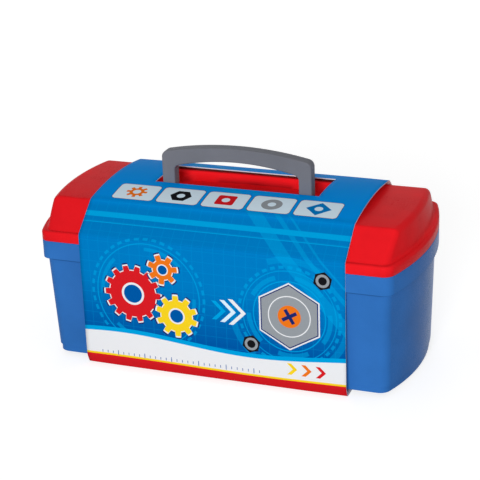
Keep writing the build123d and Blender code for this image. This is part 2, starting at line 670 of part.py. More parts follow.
bench_ends = []
for side in (-1, 1):
    with BuildPart() as bench_end:
        with BuildSketch(Plane.YZ.offset(side * frame_x - BENCH_FRAME / 2)) as end_plate:
            with Locations((0, (tub_floor + bench_under) / 2)):
                Rectangle(2 * frame_half_y, bench_under - tub_floor)
            with Locations((0, tub_floor)):
                Rectangle(2 * (frame_half_y - BENCH_LEG), 2 * BENCH_ARCH, mode=Mode.SUBTRACT)
            fillet(end_plate.vertices().group_by(Axis.Y)[1], BENCH_EDGE * 4)
            with Locations((0, (bench_under + tub_floor + BENCH_ARCH) / 2)):
                SlotOverall(BENCH_END_SLOT, BENCH_SLOT_WIDTH, mode=Mode.SUBTRACT)
        extrude(amount=BENCH_FRAME)
    bench_ends.append(bench_end)


def grip_outline(x_start, length, radius, ribs, groove):
    """Half outline of a ribbed grip along X, from its butt to its neck."""
    rib = length / (2 * ribs + 1)
    points = [(x_start, 0), (x_start, radius - groove), (x_start + groove, radius)]
    for i in range(ribs):
        x = x_start + (2 * i + 1) * rib
        points += [(x, radius), (x + groove, radius - groove),
                   (x + rib - groove, radius - groove), (x + rib, radius)]
    return points + [(x_start + length, radius)]


# Hammer: a claw head driven onto a ribbed grip
hammer_z = bench_top_z + HAMMER_GRIP_RADIUS
head_x = HAMMER_X + HAMMER_LENGTH - HAMMER_HEAD_WIDTH / 2
grip_end_x = HAMMER_X + HAMMER_LENGTH * HAMMER_GRIP_SHARE
with BuildPart() as hammer_handle:
    with BuildSketch(Plane.XZ.offset(-HAMMER_Y)):
        with BuildLine():
            outline = grip_outline(HAMMER_X, grip_end_x - HAMMER_X, HAMMER_GRIP_RADIUS,
                                   HAMMER_RIBS, RIB_GROOVE)
            outline += [(grip_end_x + HAMMER_NECK_RADIUS, HAMMER_NECK_RADIUS),
                        (HAMMER_X + HAMMER_LENGTH, HAMMER_NECK_RADIUS), (HAMMER_X + HAMMER_LENGTH, 0)]
            Polyline(*[(x, r + hammer_z) for x, r in outline], close=True)
        make_face()
    revolve(axis=Axis((0, HAMMER_Y, hammer_z), (1, 0, 0)))

with BuildPart() as hammer_head:
    with BuildSketch(Plane.XY.offset(bench_top_z)) as head_plan:
        with BuildLine():
            face_y = HAMMER_Y - HAMMER_FACE_REACH
            claw_y = HAMMER_Y + HAMMER_CLAW_REACH
            half = HAMMER_HEAD_WIDTH / 2
            waist = HAMMER_WAIST_WIDTH / 2
            Polyline((head_x - half, face_y), (head_x + half, face_y),
                     (head_x + half, face_y + HAMMER_FACE_LENGTH),
                     (head_x + waist, face_y + HAMMER_FACE_LENGTH + half - waist),
                     (head_x + waist, HAMMER_Y - HAMMER_NECK_RADIUS), (head_x + half, HAMMER_Y - waist / 2),
                     (head_x + half, HAMMER_Y + HAMMER_NECK_RADIUS))
            ThreePointArc((head_x + half, HAMMER_Y + HAMMER_NECK_RADIUS),
                          (head_x + waist, (HAMMER_Y + claw_y) / 2), (head_x - half, claw_y))
            Line((head_x - half, claw_y), (head_x - half - HAMMER_CLAW_TIP, claw_y - HAMMER_CLAW_TIP))
            ThreePointArc((head_x - half - HAMMER_CLAW_TIP, claw_y - HAMMER_CLAW_TIP),
                          (head_x - waist / 2, HAMMER_Y + HAMMER_CLAW_REACH * HAMMER_CLAW_SHARE),
                          (head_x - half, HAMMER_Y + HAMMER_NECK_RADIUS))
            Polyline((head_x - half, HAMMER_Y + HAMMER_NECK_RADIUS), (head_x - half, HAMMER_Y - waist / 2),
                     (head_x - waist, HAMMER_Y - HAMMER_NECK_RADIUS),
                     (head_x - waist, face_y + HAMMER_FACE_LENGTH + half - waist),
                     (head_x - half, face_y + HAMMER_FACE_LENGTH), (head_x - half, face_y))
        make_face()
    extrude(amount=2 * HAMMER_GRIP_RADIUS)
    chamfer(hammer_head.faces().filter_by(Axis.Z).edges(), HAMMER_CHAMFER)
    # The V between the claws
    with BuildSketch(Plane.YZ.offset(head_x)):
        with BuildLine():
            Polyline((claw_y + OVERRUN, hammer_z + HAMMER_CLAW_GAP),
                     (claw_y + OVERRUN, hammer_z - HAMMER_CLAW_GAP),
                     (claw_y - HAMMER_CLAW_REACH / 2, hammer_z), close=True)
        make_face()
    extrude(amount=HAMMER_HEAD_WIDTH * 2, both=True, mode=Mode.SUBTRACT)
    with BuildSketch(Plane.YZ.offset(head_x)):
        with Locations((HAMMER_Y, hammer_z)):
            Circle(HAMMER_NECK_RADIUS)
    extrude(amount=HAMMER_HEAD_WIDTH, both=True, mode=Mode.SUBTRACT)

# Screwdriver: a ribbed grip and a flat-tipped shaft
driver_z = bench_top_z + DRIVER_RADIUS
driver_grip_end = DRIVER_X + DRIVER_GRIP_LENGTH
driver_tip = driver_grip_end + DRIVER_SHAFT_LENGTH
with BuildPart() as screwdriver_handle:
    with BuildSketch(Plane.XZ.offset(-DRIVER_Y)):
        with BuildLine():
            outline = grip_outline(DRIVER_X, DRIVER_GRIP_LENGTH * DRIVER_GRIP_SHARE, DRIVER_RADIUS,
                                   DRIVER_RIBS, RIB_GROOVE)
            outline += [(driver_grip_end, DRIVER_RADIUS * DRIVER_NECK_SHARE), (driver_grip_end, 0)]
            Polyline(*[(x, r + driver_z) for x, r in outline], close=True)
        make_face()
    revolve(axis=Axis((0, DRIVER_Y, driver_z), (1, 0, 0)))

with BuildPart() as screwdriver_blade:
    with BuildSketch(Plane.YZ.offset(driver_grip_end)):
        with Locations((DRIVER_Y, driver_z)):
            Circle(DRIVER_SHAFT_RADIUS)
    extrude(amount=DRIVER_SHAFT_LENGTH - DRIVER_TIP_LENGTH)
    with BuildSketch(Plane.YZ.offset(driver_tip - DRIVER_TIP_LENGTH)):
        with Locations((DRIVER_Y, driver_z)):
            Rectangle(DRIVER_SHAFT_RADIUS * 2, DRIVER_SHAFT_RADIUS)
    with BuildSketch(Plane.YZ.offset(driver_tip)):
        with Locations((DRIVER_Y, driver_z)):
            Rectangle(DRIVER_SHAFT_RADIUS * 3, DRIVER_TIP_THICK)
    loft()

# Saw: one moulding with a thin toothed blade and a looped grip
blade_start = SAW_X + SAW_GRIP_LENGTH
blade_end = SAW_X + SAW_LENGTH
tooth_count = int((blade_end - blade_start) / SAW_TOOTH)
with BuildPart() as saw:
    with BuildSketch(Plane.XY.offset(bench_top_z)):
        with BuildLine():
            Polyline((blade_start - SAW_TOOTH, SAW_Y), (blade_end, SAW_Y), (blade_end, SAW_Y + SAW_TOE),
                     (blade_start - SAW_TOOTH, SAW_Y + SAW_HEEL), close=True)
        make_face()
        for i in range(tooth_count):
            tooth_x = blade_start + i * SAW_TOOTH
            with BuildLine():
                Polyline((tooth_x, SAW_Y), (tooth_x + SAW_TOOTH, SAW_Y),
                         (tooth_x + SAW_TOOTH / 2, SAW_Y + SAW_GULLET), close=True)
            make_face(mode=Mode.SUBTRACT)
    extrude(amount=SAW_BLADE)
    with BuildSketch(Plane.XY.offset(bench_top_z)) as saw_grip:
        with BuildLine():
            Polyline((SAW_X, SAW_Y), (blade_start, SAW_Y), (blade_start, SAW_Y + SAW_HEEL),
                     (SAW_X + SAW_BAR, SAW_Y + SAW_HEEL), close=True)
        make_face()
        fillet(saw_grip.vertices(), SAW_CORNER)
        with BuildLine():
            Polyline((SAW_X + SAW_BAR, SAW_Y + SAW_BAR), (blade_start - SAW_BAR, SAW_Y + SAW_BAR),
                     (blade_start - SAW_BAR, SAW_Y + SAW_HEEL - SAW_BAR),
                     (SAW_X + SAW_BAR * 5 / 3, SAW_Y + SAW_HEEL - SAW_BAR), close=True)
        make_face(mode=Mode.SUBTRACT)
    extrude(amount=SAW_THICK)

# Spanner: an open jaw at one end and a ring at the other
spanner_ring_y = -SPANNER_LENGTH / 2 + SPANNER_RING
spanner_jaw_y = SPANNER_LENGTH / 2 - SPANNER_JAW
with BuildPart() as spanner:
    with BuildSketch(Plane.XY.offset(bench_top_z)):
        with Locations((SPANNER_X, (spanner_ring_y + spanner_jaw_y) / 2)):
            Rectangle(SPANNER_SHANK, spanner_jaw_y - spanner_ring_y)
        with Locations((SPANNER_X, spanner_ring_y)):
            Circle(SPANNER_RING)
            RegularPolygon(SPANNER_GAP / 2, 6, major_radius=False, mode=Mode.SUBTRACT)
        with Locations((SPANNER_X, spanner_jaw_y)):
            Circle(SPANNER_JAW)
        with Locations(Location((SPANNER_X, spanner_jaw_y, 0), SPANNER_TURN)):
            with Locations((0, SPANNER_JAW / 2)):
                Rectangle(SPANNER_GAP, SPANNER_JAW * 3 / 2, mode=Mode.SUBTRACT)
    extrude(amount=SPANNER_THICK)

# Pliers: two lapped levers on one rivet
pliers_z = bench_top_z + SAW_BLADE + SEAT_GAP
pliers_mid = pliers_z + PLIERS_THICK / 2


def pliers_lever(side, other):
    """One lever: a jaw on one side, a curved handle on the other, and half of the lap joint."""
    grip_y = PLIERS_Y - side * (PLIERS_SPREAD - PLIERS_BAR / 2)
    jaw_y = PLIERS_Y + side * RUNNING_GAP / 2
    with BuildPart() as lever:
        with BuildSketch(Plane.XY.offset(pliers_z)):
            with BuildLine():
                Polyline((PLIERS_X, jaw_y), (PLIERS_X + PLIERS_JAW_LENGTH, jaw_y),
                         (PLIERS_X + PLIERS_JAW_LENGTH, jaw_y + side * PLIERS_JAW_TIP),
                         (PLIERS_X, jaw_y + side * PLIERS_BOSS), close=True)
            make_face()
            with BuildLine():
                bend_x = PLIERS_X - PLIERS_GRIP_LENGTH / 3
                end_x = PLIERS_X - PLIERS_GRIP_LENGTH
                ThreePointArc((PLIERS_X - PLIERS_BOSS / 2, jaw_y),
                              (bend_x, grip_y + side * PLIERS_BAR / 2),
                              (end_x, grip_y + side * PLIERS_BAR))
                Line((end_x, grip_y + side * PLIERS_BAR), (end_x, grip_y))
                ThreePointArc((end_x, grip_y), (bend_x, grip_y - side * PLIERS_BAR / 2),
                              (PLIERS_X - PLIERS_BOSS / 2, jaw_y - side * PLIERS_BOSS * 5 / 6))
                Line((PLIERS_X - PLIERS_BOSS / 2, jaw_y - side * PLIERS_BOSS * 5 / 6),
                     (PLIERS_X - PLIERS_BOSS / 2, jaw_y))
            make_face()
        extrude(amount=PLIERS_THICK)
        with Locations((PLIERS_X, PLIERS_Y, pliers_mid + other * PLIERS_THICK / 2)):
            Cylinder(PLIERS_BOSS + RUNNING_GAP, PLIERS_THICK + RUNNING_GAP, mode=Mode.SUBTRACT)
        with Locations((PLIERS_X, PLIERS_Y, pliers_mid - other * (PLIERS_THICK + RUNNING_GAP) / 4)):
            Cylinder(PLIERS_BOSS, (PLIERS_THICK - RUNNING_GAP) / 2)
        with Locations((PLIERS_X, PLIERS_Y, pliers_mid)):
            Cylinder(PLIERS_PIN + PIN_GAP, PLIERS_THICK, mode=Mode.SUBTRACT)
    return lever


pliers_lower = pliers_lever(-1, 1)
pliers_upper = pliers_lever(1, -1)
with BuildPart() as pliers_pin:
    with Locations((PLIERS_X, PLIERS_Y, pliers_mid)):
        Cylinder(PLIERS_PIN, PLIERS_THICK)

# Adjustable wrench: the jaw slides on a round rail and a knurled wheel drives it
wrench_mid = bench_top_z + WRENCH_THICK / 2
wrench_jaw_x = WRENCH_X - WRENCH_HEAD / 2 + WRENCH_JAW
rail_y = WRENCH_Y - WRENCH_RAIL - RUNNING_GAP * 2 - WRENCH_NECK
wheel_y = rail_y - WRENCH_RAIL - WRENCH_WHEEL - RUNNING_GAP
wheel_x = wrench_jaw_x + WRENCH_JAW
wheel_window = WRENCH_WHEEL_WIDTH + 2 * RUNNING_GAP
handle_top = wheel_y - WRENCH_WHEEL - WRENCH_NECK
with BuildPart() as wrench_body:
    with BuildSketch(Plane.XY.offset(bench_top_z)) as wrench_plan:
        with Locations((WRENCH_X, (WRENCH_Y + handle_top) / 2)):
            Rectangle(WRENCH_HEAD, WRENCH_Y - handle_top)
        with Locations((wrench_jaw_x - WRENCH_JAW / 2, WRENCH_Y + WRENCH_JAW_LENGTH / 2)):
            Rectangle(WRENCH_JAW, WRENCH_JAW_LENGTH)
        with Locations((WRENCH_X, handle_top - WRENCH_GRIP_LENGTH / 2)):
            Rectangle(WRENCH_GRIP, WRENCH_GRIP_LENGTH + WRENCH_GRIP / 2)
        fillet(wrench_plan.vertices().filter_by(lambda v: v.Y < rail_y or v.Y > WRENCH_Y + WRENCH_JAW),
               WRENCH_CORNER)
        with Locations((WRENCH_X, handle_top - WRENCH_GRIP_LENGTH + WRENCH_GRIP / 4)):
            Circle(WRENCH_GRIP / 4, mode=Mode.SUBTRACT)
    extrude(amount=WRENCH_THICK)
    window_length = rail_y - wheel_y + WRENCH_WHEEL + RUNNING_GAP
    with Locations((wheel_x, rail_y - window_length / 2, wrench_mid)):
        Box(wheel_window, window_length, WRENCH_THICK, mode=Mode.SUBTRACT)
    with BuildSketch(Plane.YZ.offset(wrench_jaw_x)):
        with Locations((rail_y, wrench_mid)):
            Circle(WRENCH_RAIL + RUNNING_GAP)
        with Locations((rail_y + WRENCH_JAW / 2, wrench_mid)):
            Rectangle(WRENCH_JAW, WRENCH_NECK * 2 + 2 * RUNNING_GAP)
    extrude(amount=WRENCH_HEAD, mode=Mode.SUBTRACT)
    with Locations(Location((wheel_x, wheel_y, wrench_mid), (0, 90, 0))):
        Cylinder(WRENCH_PIN + PIN_GAP, wheel_window + 4 * WRENCH_PIN, mode=Mode.SUBTRACT)

with BuildPart() as wrench_pin:
    with Locations(Location((wheel_x, wheel_y, wrench_mid), (0, 90, 0))):
        Cylinder(WRENCH_PIN, wheel_window + 4 * WRENCH_PIN - PIN_GAP)

with BuildPart() as wrench_wheel:
    with BuildSketch(Plane.YZ.offset(wheel_x - WRENCH_WHEEL_WIDTH / 2)):
        with Locations((wheel_y, wrench_mid)):
            Circle(WRENCH_WHEEL)
            with PolarLocations(WRENCH_WHEEL, WRENCH_FLUTES):
                Circle(WRENCH_FLUTE, mode=Mode.SUBTRACT)
            Circle(WRENCH_PIN + PIN_GAP, mode=Mode.SUBTRACT)
    extrude(amount=WRENCH_WHEEL_WIDTH)

with BuildPart() as wrench_jaw:
    with BuildSketch(Plane.XY.offset(bench_top_z + SEAT_GAP)):
        with BuildLine():
            jaw_left = wrench_jaw_x + RUNNING_GAP
            jaw_foot = WRENCH_Y + RUNNING_GAP
            Polyline((jaw_left, jaw_foot), (jaw_left + WRENCH_JAW * 3 / 2, jaw_foot),
                     (jaw_left + WRENCH_JAW, WRENCH_Y + WRENCH_JAW_LENGTH),
                     (jaw_left, WRENCH_Y + WRENCH_JAW_LENGTH), close=True)
        make_face()
    extrude(amount=WRENCH_THICK - 2 * SEAT_GAP)
    with BuildSketch(Plane.YZ.offset(jaw_left)):
        with Locations((rail_y, wrench_mid)):
            Circle(WRENCH_RAIL)
        with Locations(((rail_y + jaw_foot + WRENCH_RAIL / 2) / 2, wrench_mid)):
            Rectangle(jaw_foot - rail_y + WRENCH_RAIL / 2, 2 * WRENCH_NECK)
    extrude(amount=WRENCH_JAW * 3 / 2)

# Drill: two shells closed round a spindle, a sliding trigger, a chuck and a bit
drill_z = tub_floor + DRILL_THICK / 2
drill_nose = DRILL_X + DRILL_BARREL
drill_half = DRILL_HEIGHT / 2
grip_front = DRILL_X + DRILL_GRIP_IN + DRILL_GRIP
trigger_y = DRILL_Y - drill_half - TRIGGER_DROP
with BuildSketch() as drill_plan:
    with BuildLine():
        Polyline((DRILL_X, DRILL_Y - drill_half), (grip_front, DRILL_Y - drill_half),
                 (drill_nose - DRILL_TAPER, DRILL_Y - drill_half), (drill_nose, DRILL_Y - DRILL_NOSE),
                 (drill_nose, DRILL_Y + DRILL_NOSE), (drill_nose - DRILL_TAPER, DRILL_Y + drill_half),
                 (DRILL_X, DRILL_Y + drill_half), close=True)
    make_face()
    fillet(drill_plan.vertices().sort_by(Axis.X)[:2], DRILL_ROUND)
    with BuildLine():
        Polyline((DRILL_X + DRILL_GRIP_IN, DRILL_Y), (grip_front, DRILL_Y),
                 (grip_front - DRILL_RAKE, DRILL_Y - drill_half - DRILL_GRIP_LENGTH),
                 (DRILL_X + DRILL_GRIP_IN - DRILL_RAKE, DRILL_Y - drill_half - DRILL_GRIP_LENGTH), close=True)
    make_face()
    fillet(drill_plan.vertices().sort_by(Axis.Y)[:2], DRILL_ROUND / 2)


def drill_shell(side):
    """One half of the drill's casing, below or above the parting plane."""
    with BuildPart() as shell:
        with BuildSketch(Plane.XY.offset(drill_z)):
            add(drill_plan.sketch)
        extrude(amount=side * DRILL_THICK / 2)
        outer_face = shell.faces().sort_by(Axis.Z)[-1 if side > 0 else 0]
        fillet(outer_face.edges(), DRILL_EDGE)
        with Locations((0, 0, drill_z)):
            with Locations((grip_front - TRIGGER_LENGTH / 2 - TRIGGER_TRAVEL - RUNNING_GAP, trigger_y)):
                Box(TRIGGER_LENGTH + TRIGGER_TRAVEL * 2, TRIGGER_HEIGHT + 2 * RUNNING_GAP,
                    TRIGGER_WIDTH + 2 * RUNNING_GAP, mode=Mode.SUBTRACT)
            with Locations(Location((drill_nose, DRILL_Y, 0), (0, 90, 0))):
                Cylinder(CHUCK_SHAFT + PIN_GAP, 2 * CHUCK_SEAT, mode=Mode.SUBTRACT)
        with BuildSketch(Plane.XY.offset(drill_z + side * DRILL_THICK / 2)):
            with Locations((DRILL_X + DRILL_ROUND * 2, DRILL_Y)):
                with GridLocations(DRILL_VENT_PITCH, 0, DRILL_VENTS, 1):
                    SlotOverall(DRILL_HEIGHT / 2, DRILL_VENT, rotation=90)
        extrude(amount=-side * DRILL_VENT, mode=Mode.SUBTRACT)
    return shell


drill_lower = drill_shell(-1)
drill_upper = drill_shell(1)
with BuildPart() as drill_trigger:
    with BuildSketch(Plane.XY.offset(drill_z)) as trigger_plan:
        with BuildLine():
            back_x = grip_front - TRIGGER_LENGTH
            tip_x = grip_front + TRIGGER_TRAVEL * 3 / 2
            Polyline((tip_x - TRIGGER_TRAVEL / 2, trigger_y + TRIGGER_HEIGHT / 2),
                     (back_x, trigger_y + TRIGGER_HEIGHT / 2),
                     (back_x, trigger_y - TRIGGER_HEIGHT / 2), (tip_x, trigger_y - TRIGGER_HEIGHT / 2))
            ThreePointArc((tip_x, trigger_y - TRIGGER_HEIGHT / 2), (tip_x - TRIGGER_TRAVEL, trigger_y),
                          (tip_x - TRIGGER_TRAVEL / 2, trigger_y + TRIGGER_HEIGHT / 2))
        make_face()
    extrude(amount=TRIGGER_WIDTH / 2, both=True)

chuck_back = drill_nose + RUNNING_GAP
shaft_end = chuck_back - CHUCK_SEAT
bit_shoulder = chuck_back + CHUCK_LENGTH + BIT_LENGTH
with BuildPart() as drill_chuck:
    with BuildSketch(Plane.XZ.offset(-DRILL_Y)):
        with BuildLine():
            Polyline(*[(x, r + drill_z) for x, r in [
                (shaft_end, 0), (shaft_end, CHUCK_SHAFT),
                (chuck_back, CHUCK_SHAFT), (chuck_back, CHUCK_RADIUS),
                (chuck_back + CHUCK_LENGTH * CHUCK_COLLAR_SHARE, CHUCK_RADIUS),
                (chuck_back + CHUCK_LENGTH, CHUCK_NOSE), (chuck_back + CHUCK_LENGTH, BIT_RADIUS),
                (chuck_back, BIT_RADIUS), (chuck_back, 0)]], close=True)
        make_face()
    revolve(axis=Axis((0, DRILL_Y, drill_z), (1, 0, 0)))
    with BuildSketch(Plane.YZ.offset(chuck_back - RUNNING_GAP)):
        with Locations((DRILL_Y, drill_z)):
            with PolarLocations(CHUCK_RADIUS + CHUCK_FLUTE / 3, CHUCK_FLUTES):
                Circle(CHUCK_FLUTE)
    extrude(amount=CHUCK_LENGTH * CHUCK_COLLAR_SHARE + RUNNING_GAP, mode=Mode.SUBTRACT)

with BuildPart() as drill_bit:
    with BuildSketch(Plane.XZ.offset(-DRILL_Y)):
        with BuildLine():
            Polyline(*[(x, r + drill_z) for x, r in [
                (chuck_back, 0), (chuck_back, BIT_RADIUS), (bit_shoulder, BIT_RADIUS),
                (bit_shoulder + BIT_RADIUS * 2, 0)]], close=True)
        make_face()
    revolve(axis=Axis((0, DRILL_Y, drill_z), (1, 0, 0)))

# Folding rule: three legs, one above another, on two rivets
rule_step = RULE_THICK + RUNNING_GAP
rule_far_x = RULE_X - RULE_LENGTH
rule_legs = []
for level in range(3):
    with BuildPart() as rule_leg:
        with BuildSketch(Plane.XY.offset(tub_floor + level * rule_step)):
            with Locations(((RULE_X + rule_far_x) / 2, RULE_Y)):
                SlotCenterToCenter(RULE_LENGTH, RULE_WIDTH)
            ends = [RULE_X, rule_far_x] if level == 1 else [RULE_X if level == 0 else rule_far_x]
            for end_x in ends:
                with Locations((end_x, RULE_Y)):
                    Circle(RULE_RIVET + PIN_GAP, mode=Mode.SUBTRACT)
        extrude(amount=RULE_THICK)
        chamfer(rule_leg.faces().filter_by(Axis.Z).edges(), RULE_EDGE)
    rule_legs.append(rule_leg)
rule_rivets = []
for level, end_x in enumerate((RULE_X, rule_far_x)):
    with BuildPart() as rule_rivet:
        with BuildSketch(Plane.XY.offset(tub_floor + level * rule_step)):
            with Locations((end_x, RULE_Y)):
                Circle(RULE_RIVET)
        extrude(amount=2 * RULE_THICK + RUNNING_GAP)
    rule_rivets.append(rule_rivet)

# Two bolts standing on their heads, and two flanged nuts
with BuildPart() as bolts:
    with BuildSketch(Plane.XY.offset(tub_floor)):
        with Locations(*[(x, BOLTS_Y) for x in BOLT_PLACES]):
            Circle(BOLT_HEAD)
            with PolarLocations(BOLT_HEAD + BOLT_SCALLOP / 3, BOLT_SCALLOPS):
                Circle(BOLT_SCALLOP, mode=Mode.SUBTRACT)
    extrude(amount=BOLT_HEAD_HEIGHT)
    with BuildSketch(Plane.XY.offset(tub_floor + BOLT_HEAD_HEIGHT)):
        with Locations(*[(x, BOLTS_Y) for x in BOLT_PLACES]):
            Circle(BOLT_RADIUS)
    extrude(amount=BOLT_LENGTH)
    chamfer(bolts.faces().filter_by(Axis.Z).group_by(Axis.Z)[-1].edges(), BOLT_END)

with BuildPart() as nuts:
    with BuildSketch(Plane.XY.offset(tub_floor)):
        with Locations(*[(x, NUTS_Y) for x in NUT_PLACES]):
            Circle(NUT_FLANGE)
            Circle(BOLT_RADIUS + RUNNING_GAP, mode=Mode.SUBTRACT)
    extrude(amount=NUT_FLANGE_THICK)
    with BuildSketch(Plane.XY.offset(tub_floor)):
        with Locations(*[(x, NUTS_Y) for x in NUT_PLACES]):
            RegularPolygon(NUT_ACROSS / 2, 6, major_radius=False)
            Circle(BOLT_RADIUS + RUNNING_GAP, mode=Mode.SUBTRACT)
    extrude(amount=NUT_HEIGHT)

pieces = {
    "base_tub": base_tub, "lid": lid, "handle": handle, "latch": latch, "latch_pin": latch_pin,
    "hinge_pin_left": hinge_pins[0], "hinge_pin_right": hinge_pins[1], "front_label": front_label,
    "sleeve_base": sleeve_base, "sleeve_front": sleeve_front, "sleeve_cover": sleeve_cover,
    "bench_top": bench_top, "bench_end_left": bench_ends[0], "bench_end_right": bench_ends[1],
    "hammer_handle": hammer_handle, "hammer_head": hammer_head, "saw": saw, "spanner": spanner,
    "screwdriver_handle": screwdriver_handle, "screwdriver_blade": screwdriver_blade,
    "pliers_lower": pliers_lower, "pliers_upper": pliers_upper, "pliers_pin": pliers_pin,
    "wrench_body": wrench_body, "wrench_jaw": wrench_jaw, "wrench_wheel": wrench_wheel,
    "wrench_pin": wrench_pin, "drill_lower_shell": drill_lower, "drill_upper_shell": drill_upper,
    "drill_trigger": drill_trigger, "drill_chuck": drill_chuck, "drill_bit": drill_bit,
    "rule_leg_lower": rule_legs[0], "rule_leg_middle": rule_legs[1], "rule_leg_upper": rule_legs[2],
    "rule_rivet_lower": rule_rivets[0], "rule_rivet_upper": rule_rivets[1], "bolts": bolts, "nuts": nuts,
}
# The origin is brought under the middle of the whole outline, knuckles and sleeve included
back_shift = (hinge_y + KNUCKLE_RADIUS - sleeve_y) / 2
os.makedirs("parts", exist_ok=True)
for name, piece in pieces.items():
    placed = piece.part.moved(Location((0, -back_shift, 0)))
    placed.label = name
    export_step(placed, f"parts/{name}.step")
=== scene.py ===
"""Looks of the toy tool box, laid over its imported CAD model.

Lengths are in metres, in the model's own frame: +X to the right along the front,
+Y from the front to the hinge side, +Z up. Prints are laid out on the unfolded card,
u along the box and v up the front from the crease near the table.
"""
import json
import logging
from collections.abc import Callable, Iterator, Mapping, Sequence
from dataclasses import dataclass
from enum import Enum
from math import cos, pi, sin, tau

import bmesh
import bpy
import numpy as np
from mathutils import Matrix, Vector


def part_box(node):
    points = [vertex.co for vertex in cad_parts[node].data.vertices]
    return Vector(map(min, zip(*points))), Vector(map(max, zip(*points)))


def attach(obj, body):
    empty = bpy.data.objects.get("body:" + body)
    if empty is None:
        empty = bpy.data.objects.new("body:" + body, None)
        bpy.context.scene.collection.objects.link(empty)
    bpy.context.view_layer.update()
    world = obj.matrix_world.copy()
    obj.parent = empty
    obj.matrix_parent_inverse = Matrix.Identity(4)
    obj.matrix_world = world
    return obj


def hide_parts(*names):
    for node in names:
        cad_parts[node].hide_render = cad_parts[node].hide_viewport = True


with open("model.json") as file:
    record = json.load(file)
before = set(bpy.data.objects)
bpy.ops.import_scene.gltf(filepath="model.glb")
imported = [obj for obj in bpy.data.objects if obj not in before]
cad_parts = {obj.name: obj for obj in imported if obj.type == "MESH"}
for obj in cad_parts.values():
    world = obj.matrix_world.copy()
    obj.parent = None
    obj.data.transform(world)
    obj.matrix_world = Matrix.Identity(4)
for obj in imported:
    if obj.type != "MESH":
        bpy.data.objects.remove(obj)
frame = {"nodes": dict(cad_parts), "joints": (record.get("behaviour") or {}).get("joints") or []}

LOG = logging.getLogger("tool_box")
Colour = tuple[float, float, float]


def shade(red: int, green: int, blue: int) -> Colour:
    """Turn a screen shade, each part from 0 to 255, into the linear colour that shaders take."""
    parts = (channel / 255 for channel in (red, green, blue))
    return tuple(p / 12.92 if p <= 0.04045 else ((p + 0.055) / 1.055) ** 2.4 for p in parts)


def scaled(colour: Colour, share: float) -> Colour:
    """Scale a colour by a share, with no channel over 1."""
    return tuple(min(1.0, channel * share) for channel in colour)


class Ink(Enum):
    """Flat colours of the prints."""

    BLUE = shade(0, 124, 197)
    # Painted light: a lighter blue for the top panel, which the lamps leave darker than the front.
    TOP_BLUE_PAINTED_LIGHT = shade(0, 147, 238)
    DEEP_BLUE = shade(0, 88, 166)
    SKY = shade(0, 163, 226)
    ICE = shade(222, 242, 255)
    NAVY = shade(26, 42, 108)
    WHITE = shade(238, 240, 243)
    RED = shade(218, 30, 38)
    YELLOW = shade(250, 214, 36)
    ORANGE = shade(240, 120, 28)
    GREY = shade(150, 156, 162)
    BLACK = shade(24, 24, 28)


# Shaders


def operator(operation: str, turned: bool = False) -> "Callable[..., Signal]":
    """Make a method of Signal that adds one Math node.

    Args:
        operation: Blender's name of the operation.
        turned: Whether the two operands change places, as a reflected form needs.

    Returns:
        The method.
    """
    def method(self: "Signal", *others: "Signal | float") -> "Signal":
        """Add the node."""
        values = (self, *others)[::-1 if turned else 1]
        return self.board.add("ShaderNodeMath", {"operation": operation}, dict(enumerate(values)))
    return method


class Signal:
    """A value inside a material that takes part in ordinary arithmetic.

    Of two masks, | is the larger and joins them, and & is the smaller and keeps what they share.
    A remainder is never negative.
    """

    __add__ = __radd__ = operator("ADD")
    __sub__ = operator("SUBTRACT")
    __rsub__ = operator("SUBTRACT", turned=True)
    __mul__ = __rmul__ = operator("MULTIPLY")
    __truediv__ = operator("DIVIDE")
    __rtruediv__ = operator("DIVIDE", turned=True)
    __mod__ = operator("FLOORED_MODULO")
    __rmod__ = operator("FLOORED_MODULO", turned=True)
    __abs__ = operator("ABSOLUTE")
    __or__ = __ror__ = operator("MAXIMUM")
    __and__ = __rand__ = operator("MINIMUM")
    cosine = operator("COSINE")
    root = operator("SQRT")
    angle_to = operator("ARCTAN2")

    def __init__(self, board: "Board", socket: bpy.types.NodeSocket) -> None:
        """Keep the socket and the board that it belongs to."""
        self.board = board
        self.socket = socket

    def held(self) -> "Signal":
        """The same value held between 0 and 1."""
        return self.board.add("ShaderNodeMath", {"operation": "ADD", "use_clamp": True}, {0: self, 1: 0.0})

    def stretched(self, contrast: float, level: float = 0.5) -> "Signal":
        """Noise with its contrast about the middle changed, at a new level, held between 0 and 1."""
        return ((self - 0.5) * contrast + level).held()

    def from_middle(self, pitch: float) -> "Signal":
        """Distance from the middle of each step of a repeat."""
        return abs(self % pitch - pitch / 2)

    def inside(self, soft: float = 0.00015) -> "Signal":
        """Mask that is 1 where a distance is negative, with an edge this soft."""
        return self.board.add("ShaderNodeMath", {"operation": "MULTIPLY_ADD", "use_clamp": True},
                              {0: self, 1: -0.5 / soft, 2: 0.5})

    def near(self, middle: float, half: float, soft: float = 0.00015) -> "Signal":
        """Mask that is 1 where the value lies within a half width of a middle."""
        return (abs(self - middle) - half).inside(soft)


